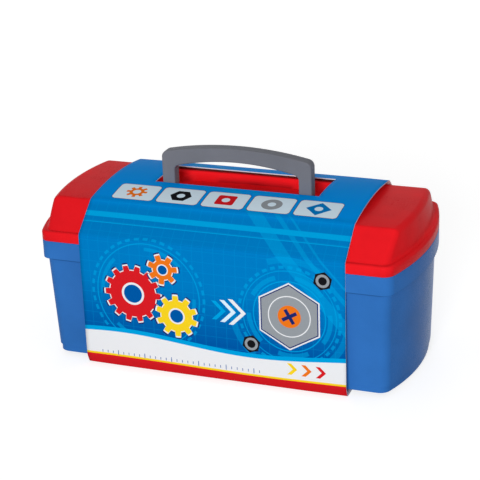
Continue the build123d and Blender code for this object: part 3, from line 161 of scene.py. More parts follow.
class Board:
    """The nodes of one material or world."""

    def __init__(self, owner: bpy.types.Material | bpy.types.World) -> None:
        """Clear the nodes of a material or world and keep its tree.

        Args:
            owner: The material or world.
        """
        self.owner = owner
        owner.use_nodes = True
        self.tree = owner.node_tree
        self.tree.nodes.clear()

    @classmethod
    def named(cls, name: str) -> "Board":
        """Start an empty material of that name."""
        return cls(bpy.data.materials.new(name))

    def node(self, kind: str, settings: Mapping[str, object] | None = None,
             values: Mapping[int | str, object] | None = None) -> bpy.types.Node:
        """Add a node of any type.

        Args:
            kind: Blender's type name.
            settings: Properties, set first; "stops" are a ramp's places and inks.
            values: A value or a signal for each named or numbered socket.

        Returns:
            The node.
        """
        node = self.tree.nodes.new(kind)
        for key, value in (settings or {}).items():
            if key == "stops":
                ramp = node.color_ramp.elements
                while len(ramp) < len(value):
                    ramp.new(1.0)
                for stop, (place, ink) in zip(ramp, value):
                    stop.position = place
                    stop.color = (*ink.value, 1.0)
            else:
                setattr(node, key, value)
        for key, value in (values or {}).items():
            socket = node.inputs[key]
            if isinstance(value, Signal):
                self.tree.links.new(value.socket, socket)
            elif socket.type == "RGBA":
                socket.default_value = (*value, 1.0)
            else:
                socket.default_value = value
        return node

    def add(self, kind: str, settings: Mapping[str, object] | None = None,
            values: Mapping[int | str, object] | None = None, output: int | str = 0) -> Signal:
        """Add a node in the same way and read one of its outputs."""
        return Signal(self, self.node(kind, settings, values).outputs[output])

    def blend(self, mask: Signal | float, below: Signal | Colour, above: Signal | Colour) -> Signal:
        """Lay one colour over another where a mask is 1."""
        return self.add("ShaderNodeMix", {"data_type": "RGBA"}, {0: mask, 6: below, 7: above}, 2)

    def painted(self, colour: Signal | Colour, layers: "Layers") -> Signal:
        """Lay masks with their inks over a colour, one after another.

        Args:
            colour: The ground.
            layers: The masks and inks, from below.

        Returns:
            The painted colour.
        """
        for mask, ink in layers:
            colour = self.blend(mask, colour, ink.value)
        return colour

    def place(self) -> Signal:
        """Point on the piece, in metres."""
        return self.add("ShaderNodeTexCoord", output="Object")

    def axes(self, vector: Signal) -> tuple[Signal, ...]:
        """Split a vector into its three numbers."""
        split = self.node("ShaderNodeSeparateXYZ", values={0: vector})
        return tuple(Signal(self, output) for output in split.outputs)

    def noise(self, vector: Signal, size: float, detail: float = 2.0) -> Signal:
        """Cloudy noise whose lumps are about this size."""
        return self.add("ShaderNodeTexNoise", values={"Vector": vector, "Scale": 1 / size, "Detail": detail})

    def relief(self, height: Signal, depth: float) -> Signal:
        """Surface direction over a relief this deep."""
        return self.add("ShaderNodeBump", values={"Strength": 1.0, "Distance": depth, "Height": height})

    def surface(self, values: Mapping[str, object]) -> bpy.types.Material:
        """Close the material with the standard shader and a value or signal for each socket used."""
        self.node("ShaderNodeOutputMaterial", values={0: self.add("ShaderNodeBsdfPrincipled", values=values)})
        return self.owner


@dataclass(frozen=True)
class Moulded:
    """Injection-moulded plastic: a fine spark grain under a slightly cloudy gloss.

    The grain is noise of its own size that lifts the surface by its depth. Colour and
    roughness drift a little over a few centimetres, as melt flow leaves them. Where a ledge
    shade height is given, a thin darker line of painted shade runs round the piece at that
    height, where the shadow under a ledge falls.
    """

    name: str
    colour: Colour
    roughness: float = 0.40
    grain: float = 0.0009
    depth: float = 0.00006
    drift: float = 0.06
    gloss: float = 0.06
    # Painted shade under a ledge: height, half width, softness, strength and darkness of the line.
    ledge_shade_z: float | None = None
    ledge_shade_half: float = 0.0010
    ledge_shade_soft: float = 0.0004
    ledge_shade_strength: float = 0.6
    ledge_shade_tone: float = 0.3
    cloud_size: float = 0.045
    speckle: float = 0.22
    cloud_spread: float = 0.16
    grain_spread: float = 0.22
    coarse: float = 0.7
    index: float = 1.49

    def material(self) -> bpy.types.Material:
        """Build the finish.

        Returns:
            The material.
        """
        board = Board.named(self.name)
        place = board.place()
        cloud = board.noise(place, self.cloud_size, detail=3.0)
        grain = board.noise(place, self.grain, detail=3.0)
        fine = board.noise(place, self.grain / 3, detail=1.0)
        dark = scaled(self.colour, 1 - 2 * self.drift)
        light = scaled(self.colour, 1 + 2 * self.drift)
        mottled = board.blend(cloud.stretched(contrast=2.0), dark, light)
        specks = grain.stretched(contrast=0.9, level=0.35)
        colour = board.blend(specks * self.speckle, mottled, light)
        # Painted shade: a thin darker line where the shadow under a ledge falls.
        if self.ledge_shade_z is not None:
            line = board.axes(place)[2].near(self.ledge_shade_z, self.ledge_shade_half, self.ledge_shade_soft)
            colour = board.blend(line * self.ledge_shade_strength, colour, scaled(self.colour, self.ledge_shade_tone))
        roughness = self.roughness + (cloud - 0.5) * self.cloud_spread + (grain - 0.5) * self.grain_spread
        height = grain * self.coarse + fine * (1 - self.coarse)
        return board.surface({"Base Color": colour, "Roughness": roughness.held(), "IOR": self.index,
                              "Specular IOR Level": self.gloss, "Normal": board.relief(height, self.depth)})


@dataclass(frozen=True)
class Wire:
    """Bright drawn wire, with fine lines the way that the hinge pins lie, along the box."""

    name: str
    colour: Colour
    dull: Colour = (0.3, 0.3, 0.32)
    roughness: float = 0.2
    spread: float = 0.25
    streak: float = 0.4
    line: float = 0.0002
    stretch: float = 0.01
    depth: float = 0.00002

    def material(self) -> bpy.types.Material:
        """Build the finish: noise stretched a hundredfold along the box.

        Returns:
            The material.
        """
        board = Board.named(self.name)
        scale = (self.stretch, 1, 1)
        along = board.add("ShaderNodeMapping", values={"Vector": board.place(), "Scale": scale})
        lines = board.noise(along, self.line)
        return board.surface({"Base Color": board.blend(lines * self.streak, self.colour, self.dull),
                              "Metallic": 1.0, "Roughness": lines * self.spread + self.roughness,
                              "Normal": board.relief(lines, self.depth)})


@dataclass(frozen=True)
class BareCard:
    """Unprinted side and cut edges of the card: off-white pulp with short fibres."""

    name: str
    colour: Colour
    roughness: float = 0.62
    spread: float = 0.2
    fibre_share: float = 0.6
    fibre: float = 0.0012
    cloud_size: float = 0.02
    depth: float = 0.00004
    dark: float = 0.86

    def material(self) -> bpy.types.Material:
        """Build the finish.

        Returns:
            The material.
        """
        board = Board.named(self.name)
        place = board.place()
        fibres = board.noise(place, self.fibre, detail=4.0)
        cloud = board.noise(place, self.cloud_size)
        pulp = (fibres * self.fibre_share + cloud * (1 - self.fibre_share)).held()
        return board.surface({"Base Color": board.blend(pulp, scaled(self.colour, self.dark), self.colour),
                              "Roughness": fibres * self.spread + self.roughness,
                              "Normal": board.relief(fibres, self.depth)})


# Prints


@dataclass(frozen=True)
class Stencil:
    """Masks of plain shapes, drawn on two coordinates of an unfolded sheet."""

    u: Signal
    v: Signal

    def at(self, u: float, v: float, turn: float = 0.0) -> "Stencil":
        """Move the origin, and turn the axes.

        Args:
            u: The new origin along u.
            v: The new origin along v.
            turn: Angle of the new axes, in radians.

        Returns:
            The moved stencil.
        """
        du, dv = self.u - u, self.v - v
        if not turn:
            return Stencil(du, dv)
        return Stencil(du * cos(turn) + dv * sin(turn), dv * cos(turn) - du * sin(turn))

    def reach(self) -> Signal:
        """Distance from the origin."""
        return (self.u * self.u + self.v * self.v).root()

    def angle(self) -> Signal:
        """Angle round the origin, in radians."""
        return self.v.angle_to(self.u)

    def disc(self, radius: float) -> Signal:
        """Round spot."""
        return (self.reach() - radius).inside()

    def tile(self, half_u: float, half_v: float, corner: float = 0.0) -> Signal:
        """Box. With rounded corners it is all within the corner's radius of an inner box.

        Args:
            half_u: Half its length along u.
            half_v: Half its length along v.
            corner: Radius of its corners.

        Returns:
            The mask.
        """
        if not corner:
            return ((abs(self.u) - half_u) | (abs(self.v) - half_v)).inside()
        over = Stencil((abs(self.u) - (half_u - corner)) | 0.0, (abs(self.v) - (half_v - corner)) | 0.0)
        return over.disc(corner)

    def cross(self, reach: float, half: float) -> Signal:
        """Two bars at a right angle."""
        return self.tile(reach, half) | self.tile(half, reach)

    def gear(self, middle: float, tooth: float, teeth: int, steepness: float = 1.6) -> Signal:
        """Toothed wheel: its radius rises and falls by half a tooth with a squared-off cosine."""
        wave = ((self.angle() * teeth).cosine() * steepness + 0.5).held()
        return (self.reach() - (wave - 0.5) * tooth - middle).inside()

    def polygon(self, sides: int, apothem: float) -> Signal:
        """Regular polygon: the distance along the nearest side's own direction, less the apothem."""
        near = (self.angle() + tau) % (tau / sides) - pi / sides
        return (self.reach() * near.cosine() - apothem).inside()

    def chevron(self, half_v: float, width: float) -> Signal:
        """Arrow bar that points along u."""
        return ((abs(self.u + abs(self.v)) - width) | (abs(self.v) - half_v)).inside()


Layers = Iterator[tuple[Signal, Ink]]
Pair = tuple[float, float]
Steps = tuple[tuple[float, Ink], ...]


@dataclass(frozen=True)
class Grid:
    """Fine square grid over the whole sheet."""

    pitch: float = 0.0095
    half: float = 0.00022
    soft: float = 0.0002
    strength: float = 0.28

    def layers(self, sheet: Stencil) -> Layers:
        """Draw the lines of both directions in one mask."""
        u, v = (axis.from_middle(self.pitch) - self.half for axis in (sheet.u, sheet.v))
        yield (u.inside(self.soft) | v.inside(self.soft)) * self.strength, Ink.SKY


@dataclass(frozen=True)
class Beam:
    """Slanting beam, on which u and a share of v add up to its place."""

    place: float
    half: float
    slant: float = 0.9
    strength: float = 0.45

    def layers(self, sheet: Stencil) -> Layers:
        """Draw the beam."""
        yield (sheet.u + sheet.v * self.slant).near(self.place, self.half) * self.strength, Ink.SKY


@dataclass(frozen=True)
class Ring:
    """Ring round a motif. One with dashes is kept where a cosine of the angle is below the gate."""

    at: Pair
    radius: float
    half: float
    strength: float
    dashes: int = 0
    gate: float = 0.0
    turn: float = 0.4
    soft: float = 0.03

    def layers(self, sheet: Stencil) -> Layers:
        """Draw the ring.

        Args:
            sheet: The unfolded sheet.

        Returns:
            Masks and inks, from below.
        """
        spot = sheet.at(*self.at, self.turn)
        ring = spot.reach().near(self.radius, self.half)
        if self.dashes:
            ring = ring & ((spot.angle() * self.dashes).cosine() - self.gate).inside(self.soft)
        yield ring * self.strength, Ink.SKY


@dataclass(frozen=True)
class Wheel:
    """Toothed wheel with a dark edge, a white rim, a hub and a bore."""

    at: Pair
    middle: float
    teeth: int
    turn: float
    ink: Ink
    tooth: float = 0.0048
    tooth_step: float = 0.0004
    rim: float = 0.0011
    hub: float = 0.42
    bore: float = 0.34

    def layers(self, sheet: Stencil) -> Layers:
        """Draw the wheel.

        Args:
            sheet: The unfolded sheet.

        Returns:
            Masks and inks, from below.
        """
        spot = sheet.at(*self.at, self.turn)
        for side, ink in ((1, Ink.NAVY), (0, Ink.WHITE), (-1, self.ink)):
            tooth = self.tooth + side * self.tooth_step
            yield spot.gear(self.middle + side * self.rim, tooth, self.teeth), ink
        yield spot.disc(self.middle * self.hub), Ink.WHITE
        yield spot.disc(self.middle * self.bore), Ink.DEEP_BLUE


@dataclass(frozen=True)
class Arrows:
    """Row of arrow bars. Each is taller than the one before by the growth to either side."""

    at: Pair
    step: float
    half: float
    growth: float
    width: float
    inks: tuple[Ink, ...]

    def layers(self, sheet: Stencil) -> Layers:
        """Draw the bars in their order along u.

        Args:
            sheet: The unfolded sheet.

        Returns:
            Masks and inks, from below.
        """
        for i, ink in enumerate(self.inks):
            bar = sheet.at(self.at[0] + self.step * i, self.at[1])
            yield bar.chevron(self.half + self.growth * i, self.width), ink


@dataclass(frozen=True)
class Fastener:
    """Hexagon nut or head: hexagons, round steps on them, and a cross slot where it has one."""

    at: Pair
    turn: float = 0.3
    hexagons: Steps = ((0.0072, Ink.BLACK),)
    discs: Steps = ((0.0058, Ink.GREY), (0.0036, Ink.BLACK))
    slot: Pair | None = None

    def layers(self, sheet: Stencil) -> Layers:
        """Draw the fastener.

        Args:
            sheet: The unfolded sheet.

        Returns:
            Masks and inks, from below.
        """
        spot = sheet.at(*self.at, self.turn)
        for apothem, ink in self.hexagons:
            yield spot.polygon(6, apothem), ink
        for radius, ink in self.discs:
            yield spot.disc(radius), ink
        if self.slot:
            yield spot.cross(*self.slot), Ink.NAVY


@dataclass(frozen=True)
class Tiles:
    """A row of pale tiles before the window, each with one plain fastener or wheel."""

    inks: tuple[Ink, ...] = (Ink.ORANGE, Ink.BLACK, Ink.RED, Ink.GREY, Ink.BLUE)
    step: float = 0.0410
    row_v: float = 0.1672
    rims: tuple[tuple[float, float, float, Ink], ...] = (
        (0.0192, 0.0140, 0.0040, Ink.NAVY), (0.0187, 0.0135, 0.0036, Ink.WHITE),
        (0.0179, 0.0127, 0.0030, Ink.ICE))
    bore: float = 0.0036

    def motif(self, spot: Stencil, number: int) -> Signal:
        """Gear, hexagon nut, square washer, round washer or square nut."""
        return (spot.gear(0.0080, 0.0030, 8), spot.polygon(6, 0.0085), spot.tile(0.0083, 0.0083, 0.002),
                spot.disc(0.0090), spot.polygon(4, 0.0078))[number]

    def layers(self, sheet: Stencil) -> Layers:
        """Draw the tiles.

        Args:
            sheet: The unfolded sheet.

        Returns:
            Masks and inks, from below.
        """
        first = -self.step * (len(self.inks) - 1) / 2
        for i, ink in enumerate(self.inks):
            spot = sheet.at(first + self.step * i, self.row_v)
            for half_u, half_v, corner, rim_ink in self.rims:
                yield spot.tile(half_u, half_v, corner), rim_ink
            yield self.motif(spot, i), ink
            yield spot.disc(self.bore), Ink.ICE


@dataclass(frozen=True)
class Band:
    """Band along the box. A slow wave, a cosine of u, lifts it by up to its lift."""

    low: float
    high: float
    ink: Ink
    lift: float = 0.0
    rate: float = 26.0
    start: float = 2.2

    def layers(self, sheet: Stencil) -> Layers:
        """Draw the band between its two edges."""
        height = sheet.v - (sheet.u * self.rate + self.start).cosine() * self.lift
        yield height.near((self.low + self.high) / 2, (self.high - self.low) / 2), self.ink


@dataclass(frozen=True)
class Ruler:
    """Plain ruler line: short ticks, and every fifth one longer."""

    at: Pair = (-0.03, 0.0062)
    half_length: float = 0.0750
    tick_half: float = 0.0003
    ticks: tuple[Pair, ...] = ((0.005, 0.0012), (0.025, 0.0024))

    def layers(self, sheet: Stencil) -> Layers:
        """Draw the ticks of each pitch.

        Args:
            sheet: The unfolded sheet.

        Returns:
            Masks and inks, from below.
        """
        line = sheet.at(*self.at)
        for pitch, reach in self.ticks:
            tick = (sheet.u.from_middle(pitch) - self.tick_half).inside()
            yield tick & line.tile(self.half_length, reach), Ink.DEEP_BLUE


BOLT_AT = (0.0700, 0.0600)
WHEELS_AT = (-0.0560, 0.0640)
CARD_MOTIFS = (
    Grid(),
    Beam(0.167, 0.007), Beam(0.187, 0.0025), Beam(0.198, 0.0012),
    Ring(BOLT_AT, 0.0312, 0.0005, 0.8),
    Ring(BOLT_AT, 0.0352, 0.0020, 0.5, dashes=5, gate=0.35),
    Ring(BOLT_AT, 0.0405, 0.0004, 0.7),
    Ring(BOLT_AT, 0.0438, 0.0013, 0.6, dashes=36, gate=0.2),
    Ring(BOLT_AT, 0.0500, 0.0028, 0.35, dashes=3, gate=-0.1),
    Ring(WHEELS_AT, 0.0420, 0.0016, 0.5, dashes=4, gate=0.1),
    Ring(WHEELS_AT, 0.0468, 0.0005, 0.7),
    Ring(WHEELS_AT, 0.0510, 0.0012, 0.6, dashes=40, gate=0.2),
    Wheel((-0.0700, 0.0640), 0.0245, 14, 0.0, Ink.RED),
    Wheel((-0.0306, 0.0480), 0.0175, 10, 0.35, Ink.YELLOW),
    Wheel((-0.0415, 0.0890), 0.0122, 7, 0.1, Ink.ORANGE),
    Arrows((0.012, 0.0580), 0.009, 0.0085, 0.0015, 0.0021, (Ink.SKY, Ink.ICE, Ink.WHITE)),
    Fastener(BOLT_AT, pi / 6, ((0.0262, Ink.WHITE), (0.0250, Ink.NAVY), (0.0240, Ink.GREY)),
             ((0.0185, Ink.WHITE), (0.0176, Ink.GREY), (0.0100, Ink.ORANGE)), slot=(0.0072, 0.0016)),
    Fastener((0.0360, 0.0310)), Fastener((0.0990, 0.0950)),
    Tiles(),
    Band(0.1325, 0.1375, Ink.SKY), Band(0.1268, 0.1276, Ink.SKY),
    Band(0.0220, 0.0262, Ink.SKY, lift=0.0040), Band(-0.0200, 0.0222, Ink.WHITE, lift=0.0040),
    Band(-0.0180, 0.0040, Ink.YELLOW, lift=0.0008), Band(-0.0180, 0.0022, Ink.RED, lift=0.0008),
    Arrows((0.074, 0.0124), 0.0125, 0.0052, 0.0, 0.0019, (Ink.YELLOW, Ink.ORANGE, Ink.RED)),
    Ruler(),
)


@dataclass(frozen=True)
class PrintedCard:
    """Print on the sleeve's outside: the motifs on a blue that deepens towards both feet,
    with a lighter blue of painted light on the top panel.

    Lengths round the strip count from the front's foot, so the middle of the underside
    lies at a negative one, under_v. The blue follows the distance from there.
    """

    name: str
    under_v: float
    height: float = 0.19
    # The last stop, past the top fold, is painted light: a lighter blue on the top panel.
    stops: Steps = ((0.0, Ink.DEEP_BLUE), (0.14, Ink.DEEP_BLUE), (0.40, Ink.BLUE), (0.75, Ink.BLUE),
                    (0.83, Ink.TOP_BLUE_PAINTED_LIGHT))
    roughness: float = 0.26
    spread: float = 0.12
    gloss: float = 0.003
    index: float = 1.48
    cloud_size: float = 0.03
    fibre: float = 0.0014
    depth: float = 0.000012

    def material(self) -> bpy.types.Material:
        """Build the print on the sleeve's unfolded coordinates.

        Returns:
            The material.
        """
        board = Board.named(self.name)
        u, v, _ = board.axes(board.add("ShaderNodeUVMap", {"uv_map": "print"}))
        climb = abs(v - self.under_v) + self.under_v
        colour = board.add("ShaderNodeValToRGB", {"stops": self.stops}, {0: (climb / self.height).held()})
        for motif in CARD_MOTIFS:
            colour = board.painted(colour, motif.layers(Stencil(u, v)))
        place = board.place()
        cloud = board.noise(place, self.cloud_size)
        fibres = board.noise(place, self.fibre, detail=3.0)
        return board.surface({"Base Color": colour, "Roughness": cloud * self.spread + self.roughness,
                              "IOR": self.index, "Specular IOR Level": self.gloss,
                              "Normal": board.relief(fibres, self.depth)})


@dataclass(frozen=True)
class Sticker:
    """Glossy yellow sticker with a blue line round it and slanting stripes at its foot."""

    name: str
    half_length: float
    low: float
    high: float
    edge: float = 0.0025
    corner: float = 0.003
    foot_v: float = 0.0062
    foot_half: float = 0.0032
    slant_pitch: float = 0.008
    wheel_inks: tuple[Ink, ...] = (Ink.BLUE, Ink.RED, Ink.ORANGE)
    wheel_step: float = 0.030
    wheel_v: float = 0.004
    wheel: float = 0.0090
    tooth: float = 0.0034
    teeth: int = 9
    bore: float = 0.0036
    roughness: float = 0.2
    spread: float = 0.1
    cloud_size: float = 0.02
    depth: float = 0.00003

    def layers(self, sheet: Stencil) -> Layers:
        """Draw the line round the sticker, its foot and its wheels.

        Args:
            sheet: Coordinates about the sticker's middle.

        Returns:
            Masks and inks, from below.
        """
        half = (self.high - self.low) / 2
        yield 1 - sheet.tile(self.half_length - self.edge, half - self.edge, self.corner), Ink.NAVY
        foot = (sheet.v + half).near(self.foot_v, self.foot_half)
        slant = ((sheet.u + sheet.v).from_middle(self.slant_pitch) - self.slant_pitch / 4).inside()
        yield foot, Ink.WHITE
        yield foot & slant, Ink.RED
        for i, ink in enumerate(self.wheel_inks):
            spot = sheet.at(self.wheel_step * (i - 1), self.wheel_v)
            yield spot.gear(self.wheel, self.tooth, self.teeth), ink
            yield spot.disc(self.bore), Ink.YELLOW

    def material(self) -> bpy.types.Material:
        """Build the print on the sticker's own place in the model.

        Returns:
            The material.
        """
        board = Board.named(self.name)
        place = board.place()
        x, _, z = board.axes(place)
        sheet = Stencil(x, z - (self.low + self.high) / 2)
        colour = board.painted(Ink.YELLOW.value, self.layers(sheet))
        cloud = board.noise(place, self.cloud_size)
        return board.surface({"Base Color": colour, "Roughness": cloud * self.spread + self.roughness,
                              "Normal": board.relief(cloud, self.depth)})


class Finish(Enum):
    """Finishes without a print, named for what wears them."""

    # The line at 0.0950 is painted shade just under the band's ledge.
    TUB = Moulded("tub_blue", shade(50, 113, 188), 0.27, gloss=0.022, ledge_shade_z=0.0950)
    LID = Moulded("lid_red", shade(237, 28, 36), 0.30, grain=0.0011, depth=0.00010, gloss=0.012)
    HANDLE = Moulded("handle_grey", shade(112, 114, 122), 0.46)
    LATCH = Moulded("latch_grey", shade(196, 192, 190), 0.40)
    BENCH = Moulded("bench_grey", shade(178, 174, 172), 0.42)
    TOOL_RED = Moulded("tool_red", shade(220, 36, 44), 0.34)
    TOOL_ORANGE = Moulded("tool_orange", shade(240, 128, 34), 0.34)
    TOOL_YELLOW = Moulded("tool_yellow", shade(246, 176, 36), 0.34)
    TOOL_BLUE = Moulded("tool_blue", shade(24, 130, 206), 0.34)
    TOOL_GREY = Moulded("tool_grey", shade(164, 176, 178), 0.36)
    TOOL_BLACK = Moulded("tool_black", shade(30, 30, 34), 0.40)
    WIRE = Wire("pin_steel", (0.62, 0.62, 0.64))
    BARE_CARD = BareCard("card_inside", shade(232, 230, 236))


# Meshes


def linked(name: str, data: bpy.types.ID) -> bpy.types.Object:
    """Put data into a new object in the scene.

    Args:
        name: The object's name.
        data: Its mesh, lamp or camera.

    Returns:
        The new object.
    """
    item = bpy.data.objects.new(name, data)
    bpy.context.scene.collection.objects.link(item)
    return item


def vertex_places(mesh: bpy.types.Mesh) -> np.ndarray:
    """Read a mesh's vertices.

    Args:
        mesh: The mesh.

    Returns:
        Their places, one row each.
    """
    points = np.empty(len(mesh.vertices) * 3)
    mesh.vertices.foreach_get("co", points)
    return points.reshape(-1, 3)


def build_mesh(name: str, points: np.ndarray, faces: np.ndarray, smooth: np.ndarray,
               slots: np.ndarray, layout: np.ndarray | None = None) -> bpy.types.Object:
    """Put worked-out arrays into a mesh object that sits at the origin.

    Args:
        name: The piece's name.
        points: Vertex places, one row each.
        faces: Four vertex numbers per face.
        smooth: Whether each face is shaded smoothly.
        slots: Material slot of each face.
        layout: Unfolded place of each vertex, kept as the UV map "print".

    Returns:
        The new object.
    """
    mesh = bpy.data.meshes.new(name)
    mesh.from_pydata(points.tolist(), [], faces.tolist())
    mesh.polygons.foreach_set("use_smooth", smooth.astype(bool))
    mesh.polygons.foreach_set("material_index", slots.astype(np.int32))
    if layout is not None:
        layer = mesh.uv_layers.new(name="print")
        layer.data.foreach_set("uv", layout[faces.ravel()].astype(np.float32).ravel())
    mesh.update()
    return linked(name, mesh)


def dense_line(corners: np.ndarray, step: float) -> np.ndarray:
    """Divide a run of straight pieces into even steps.

    The length up to each corner is added up, and both coordinates are read off at even
    lengths between the first and the last corner.

    Args:
        corners: The run's corners, one row each.
        step: The length of a step.

    Returns:
        The points, one row each.
    """
    lengths = np.concatenate(([0.0], np.cumsum(np.hypot(*np.diff(corners, axis=0).T))))
    places = np.linspace(0, lengths[-1], int(lengths[-1] / step) + 1)
    return np.stack([np.interp(places, lengths, corners[:, axis]) for axis in (0, 1)], axis=1)


def running_mean(values: np.ndarray, window: int) -> np.ndarray:
    """Mean of each value and its neighbours, a window to each side."""
    width = 2 * window + 1
    return np.convolve(values, np.full(width, 1 / width), "same")


def softened(line: np.ndarray, window: int) -> np.ndarray:
    """Round a line's corners: each point becomes the mean of its neighbours in a window.

    Both ends are first drawn out in their own direction by a window.

    Args:
        line: The line's points, one row each.
        window: How many points to each side count.

    Returns:
        The rounded line, with as many points.
    """
    before = line[0] + (line[0] - line[1]) * np.arange(window, 0, -1)[:, None]
    after = line[-1] + (line[-1] - line[-2]) * np.arange(1, window + 1)[:, None]
    long = np.concatenate((before, line, after))
    return np.stack([running_mean(long[:, axis], window) for axis in (0, 1)], axis=1)[window:-window]


@dataclass
class CardSleeve:
    """The printed card sleeve: one folded strip, cut where the lid and the front flap move.

    Its outline is a run of corners round the box. Each fold is softened by a moving
    average, so the card bends as card does, and the three panels share one line.
    """

    half_length: float = 0.1180
    half_depth: float = 0.0822
    card: float = 0.0008
    crease_z: float = 0.0090
    foot_in: float = 0.0037
    table_gap: float = 0.0004
    fold_y: float = 0.0538
    front_fold_z: float = 0.1449
    back_fold_z: float = 0.1464
    window_z: float = 0.1428
    band_z: float = 0.0960
    rim_z: float = 0.1120
    back_gap: float = 0.0028
    step: float = 0.0004
    window: int = 5
    bow: float = 0.0003
    crown_points: int = 65
    column_count: int = 61
    column_gap: float = 0.0012

    def __post_init__(self) -> None:
        """Read the places that the CAD model sets, and trace the whole strip."""
        hinge = next(j for j in frame["joints"] if j["name"] == "sleeve_flap")
        self.axis_z = hinge["pos_m"][2]
        self.middle_y = hinge["pos_m"][1] + self.half_depth
        self.crown_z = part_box("sleeve_cover")[1].z
        self.line, self.length = self.trace()

    def trace(self) -> tuple[np.ndarray, np.ndarray]:
        """Follow the strip from the rim behind, under the box, up the front and over the lid.

        Between its two folds the card bows up: a straight line from fold to fold plus a
        parabola that is highest in the middle. Lengths are measured from the crease near
        the table, upwards on the front.

        Returns:
            Outer line as (y, z) rows, and the unfolded length at each of them.
        """
        rise = self.crown_z - (self.front_fold_z + self.back_fold_z) / 2
        y = np.linspace(-self.fold_y, self.fold_y, self.crown_points)
        chord = np.interp(y, (-self.fold_y, self.fold_y), (self.front_fold_z, self.back_fold_z))
        crown = np.stack([y, chord + rise * (1 - (y / self.fold_y) ** 2)], axis=1)
        foot_y = self.half_depth - self.foot_in
        corners = np.concatenate((
            [(self.half_depth, self.rim_z - self.back_gap / 2), (self.half_depth, self.band_z),
             (foot_y, self.table_gap), (-foot_y, self.table_gap), (-self.half_depth, self.crease_z),
             (-self.half_depth, self.axis_z)],
            crown,
            [(self.half_depth, self.axis_z), (self.half_depth, self.rim_z + self.back_gap / 2)]))
        line = softened(dense_line(corners, self.step), self.window)
        line[:, 0] = np.clip(line[:, 0], -self.half_depth, self.half_depth) + self.middle_y
        y, z = line.T
        length = np.concatenate(([0.0], np.cumsum(np.hypot(*np.diff(line, axis=0).T))))
        front = (y < self.middle_y) & (z < self.axis_z / 2) & (z > self.table_gap * 2)
        crease = np.flatnonzero(front)[np.argmin(abs(z[front] - self.crease_z))]
        return line, length - length[crease]

    def columns(self, marks: Sequence[float]) -> np.ndarray:
        """Places along the box: even steps, with a line exactly at each mark.

        Args:
            marks: Places that get a line of their own.

        Returns:
            The places in order.
        """
        even = np.linspace(-self.half_length, self.half_length, self.column_count)
        kept = np.ones(len(even), bool)
        for mark in marks:
            kept &= (abs(even - mark) > self.column_gap) | (abs(even) == self.half_length)
        return np.sort(np.concatenate((even[kept], marks)))

    def panel(self, name: str, chosen: np.ndarray,
              hole: tuple[float, float, float] | None = None) -> bpy.types.Object:
        """Build one panel of the strip with its thickness, print layout and cut edges.

        A point is (x, line(v)) on the outside and the same less the card along the line's
        normal on the inside. Towards both side edges the card falls back with the sixth
        power of x, as card does that is held in the middle.

        Args:
            name: The piece's name.
            chosen: Which points of the strip's line belong to it.
            hole: Half length, front and back of an opening on the crown, or None.

        Returns:
            The panel.
        """
        line, length = self.line[chosen], self.length[chosen]
        tangent = np.gradient(line, axis=0)
        tangent /= np.linalg.norm(tangent, axis=1, keepdims=True)
        outward = np.stack([-tangent[:, 1], tangent[:, 0]], axis=1)
        x = self.columns([-hole[0], hole[0]] if hole else [])
        across, down = len(x), len(line)
        fall = (self.bow * (x / self.half_length) ** 6)[:, None, None]
        grid_x = np.broadcast_to(x[:, None], (across, down))
        sides = [np.dstack([grid_x, line[None] - (fall + depth) * outward[None]])
                 for depth in (0.0, self.card)]
        points = np.concatenate(sides).reshape(-1, 3)
        layout = np.stack(np.broadcast_arrays(x[:, None], length[None]), axis=2).reshape(-1, 2)
        kept = np.ones((across - 1, down - 1), bool)
        if hole:
            half_x, front_y, back_y = hole
            within_x = abs((x[1:] + x[:-1]) / 2) < half_x
            middle_y = (line[1:, 0] + line[:-1, 0]) / 2
            within_y = (middle_y > front_y) & (middle_y < back_y) & (line[1:, 1] > self.axis_z)
            kept &= ~(within_x[:, None] & within_y)
        faces, slots = self.skin(kept, across, down)
        both = np.concatenate((layout, layout))
        return build_mesh(name, points, faces, slots < 2, np.minimum(slots, 1), both)

    @staticmethod
    def skin(kept: np.ndarray, across: int, down: int) -> tuple[np.ndarray, np.ndarray]:
        """Faces of a grid with two sides and walls round everything that is kept.

        A cell gives a face outside and a turned one inside. A wall stands on each grid
        line that has a kept cell on one side only, and faces away from that cell.

        Args:
            kept: Which cells are card.
            across: Grid points along the box.
            down: Grid points along the strip.

        Returns:
            Faces, and for each of them 0 outside, 1 inside or 2 on a cut edge.
        """
        number = np.arange(across * down).reshape(across, down)
        inner = number + across * down
        i, j = np.nonzero(kept)
        corners = (number[i, j], number[i + 1, j], number[i + 1, j + 1], number[i, j + 1])
        outer_faces = np.stack(corners, axis=1)
        inner_faces = outer_faces[:, ::-1] + across * down
        walls = []
        padded = np.pad(kept, 1)
        edge_x = padded[:-1, 1:-1].astype(int) - padded[1:, 1:-1]
        edge_y = padded[1:-1, :-1].astype(int) - padded[1:-1, 1:]
        for sign in (1, -1):
            i, j = np.nonzero(edge_x == sign)
            wall = np.stack([number[i, j], inner[i, j], inner[i, j + 1], number[i, j + 1]], axis=1)
            walls.append(wall[:, ::sign])
            i, j = np.nonzero(edge_y == sign)
            wall = np.stack([number[i, j], number[i + 1, j], inner[i + 1, j], inner[i, j]], axis=1)
            walls.append(wall[:, ::sign])
        walls = np.concatenate(walls)
        slots = np.repeat([0, 1, 2], [len(outer_faces), len(inner_faces), len(walls)])
        return np.concatenate((outer_faces, inner_faces, walls)), slots

    def under_length(self) -> float:
        """Unfolded length at the middle of the underside, which is negative."""
        below = np.flatnonzero(self.length < 0)
        return float(self.length[below[np.argmin(abs(self.line[below, 0] - self.middle_y))]])

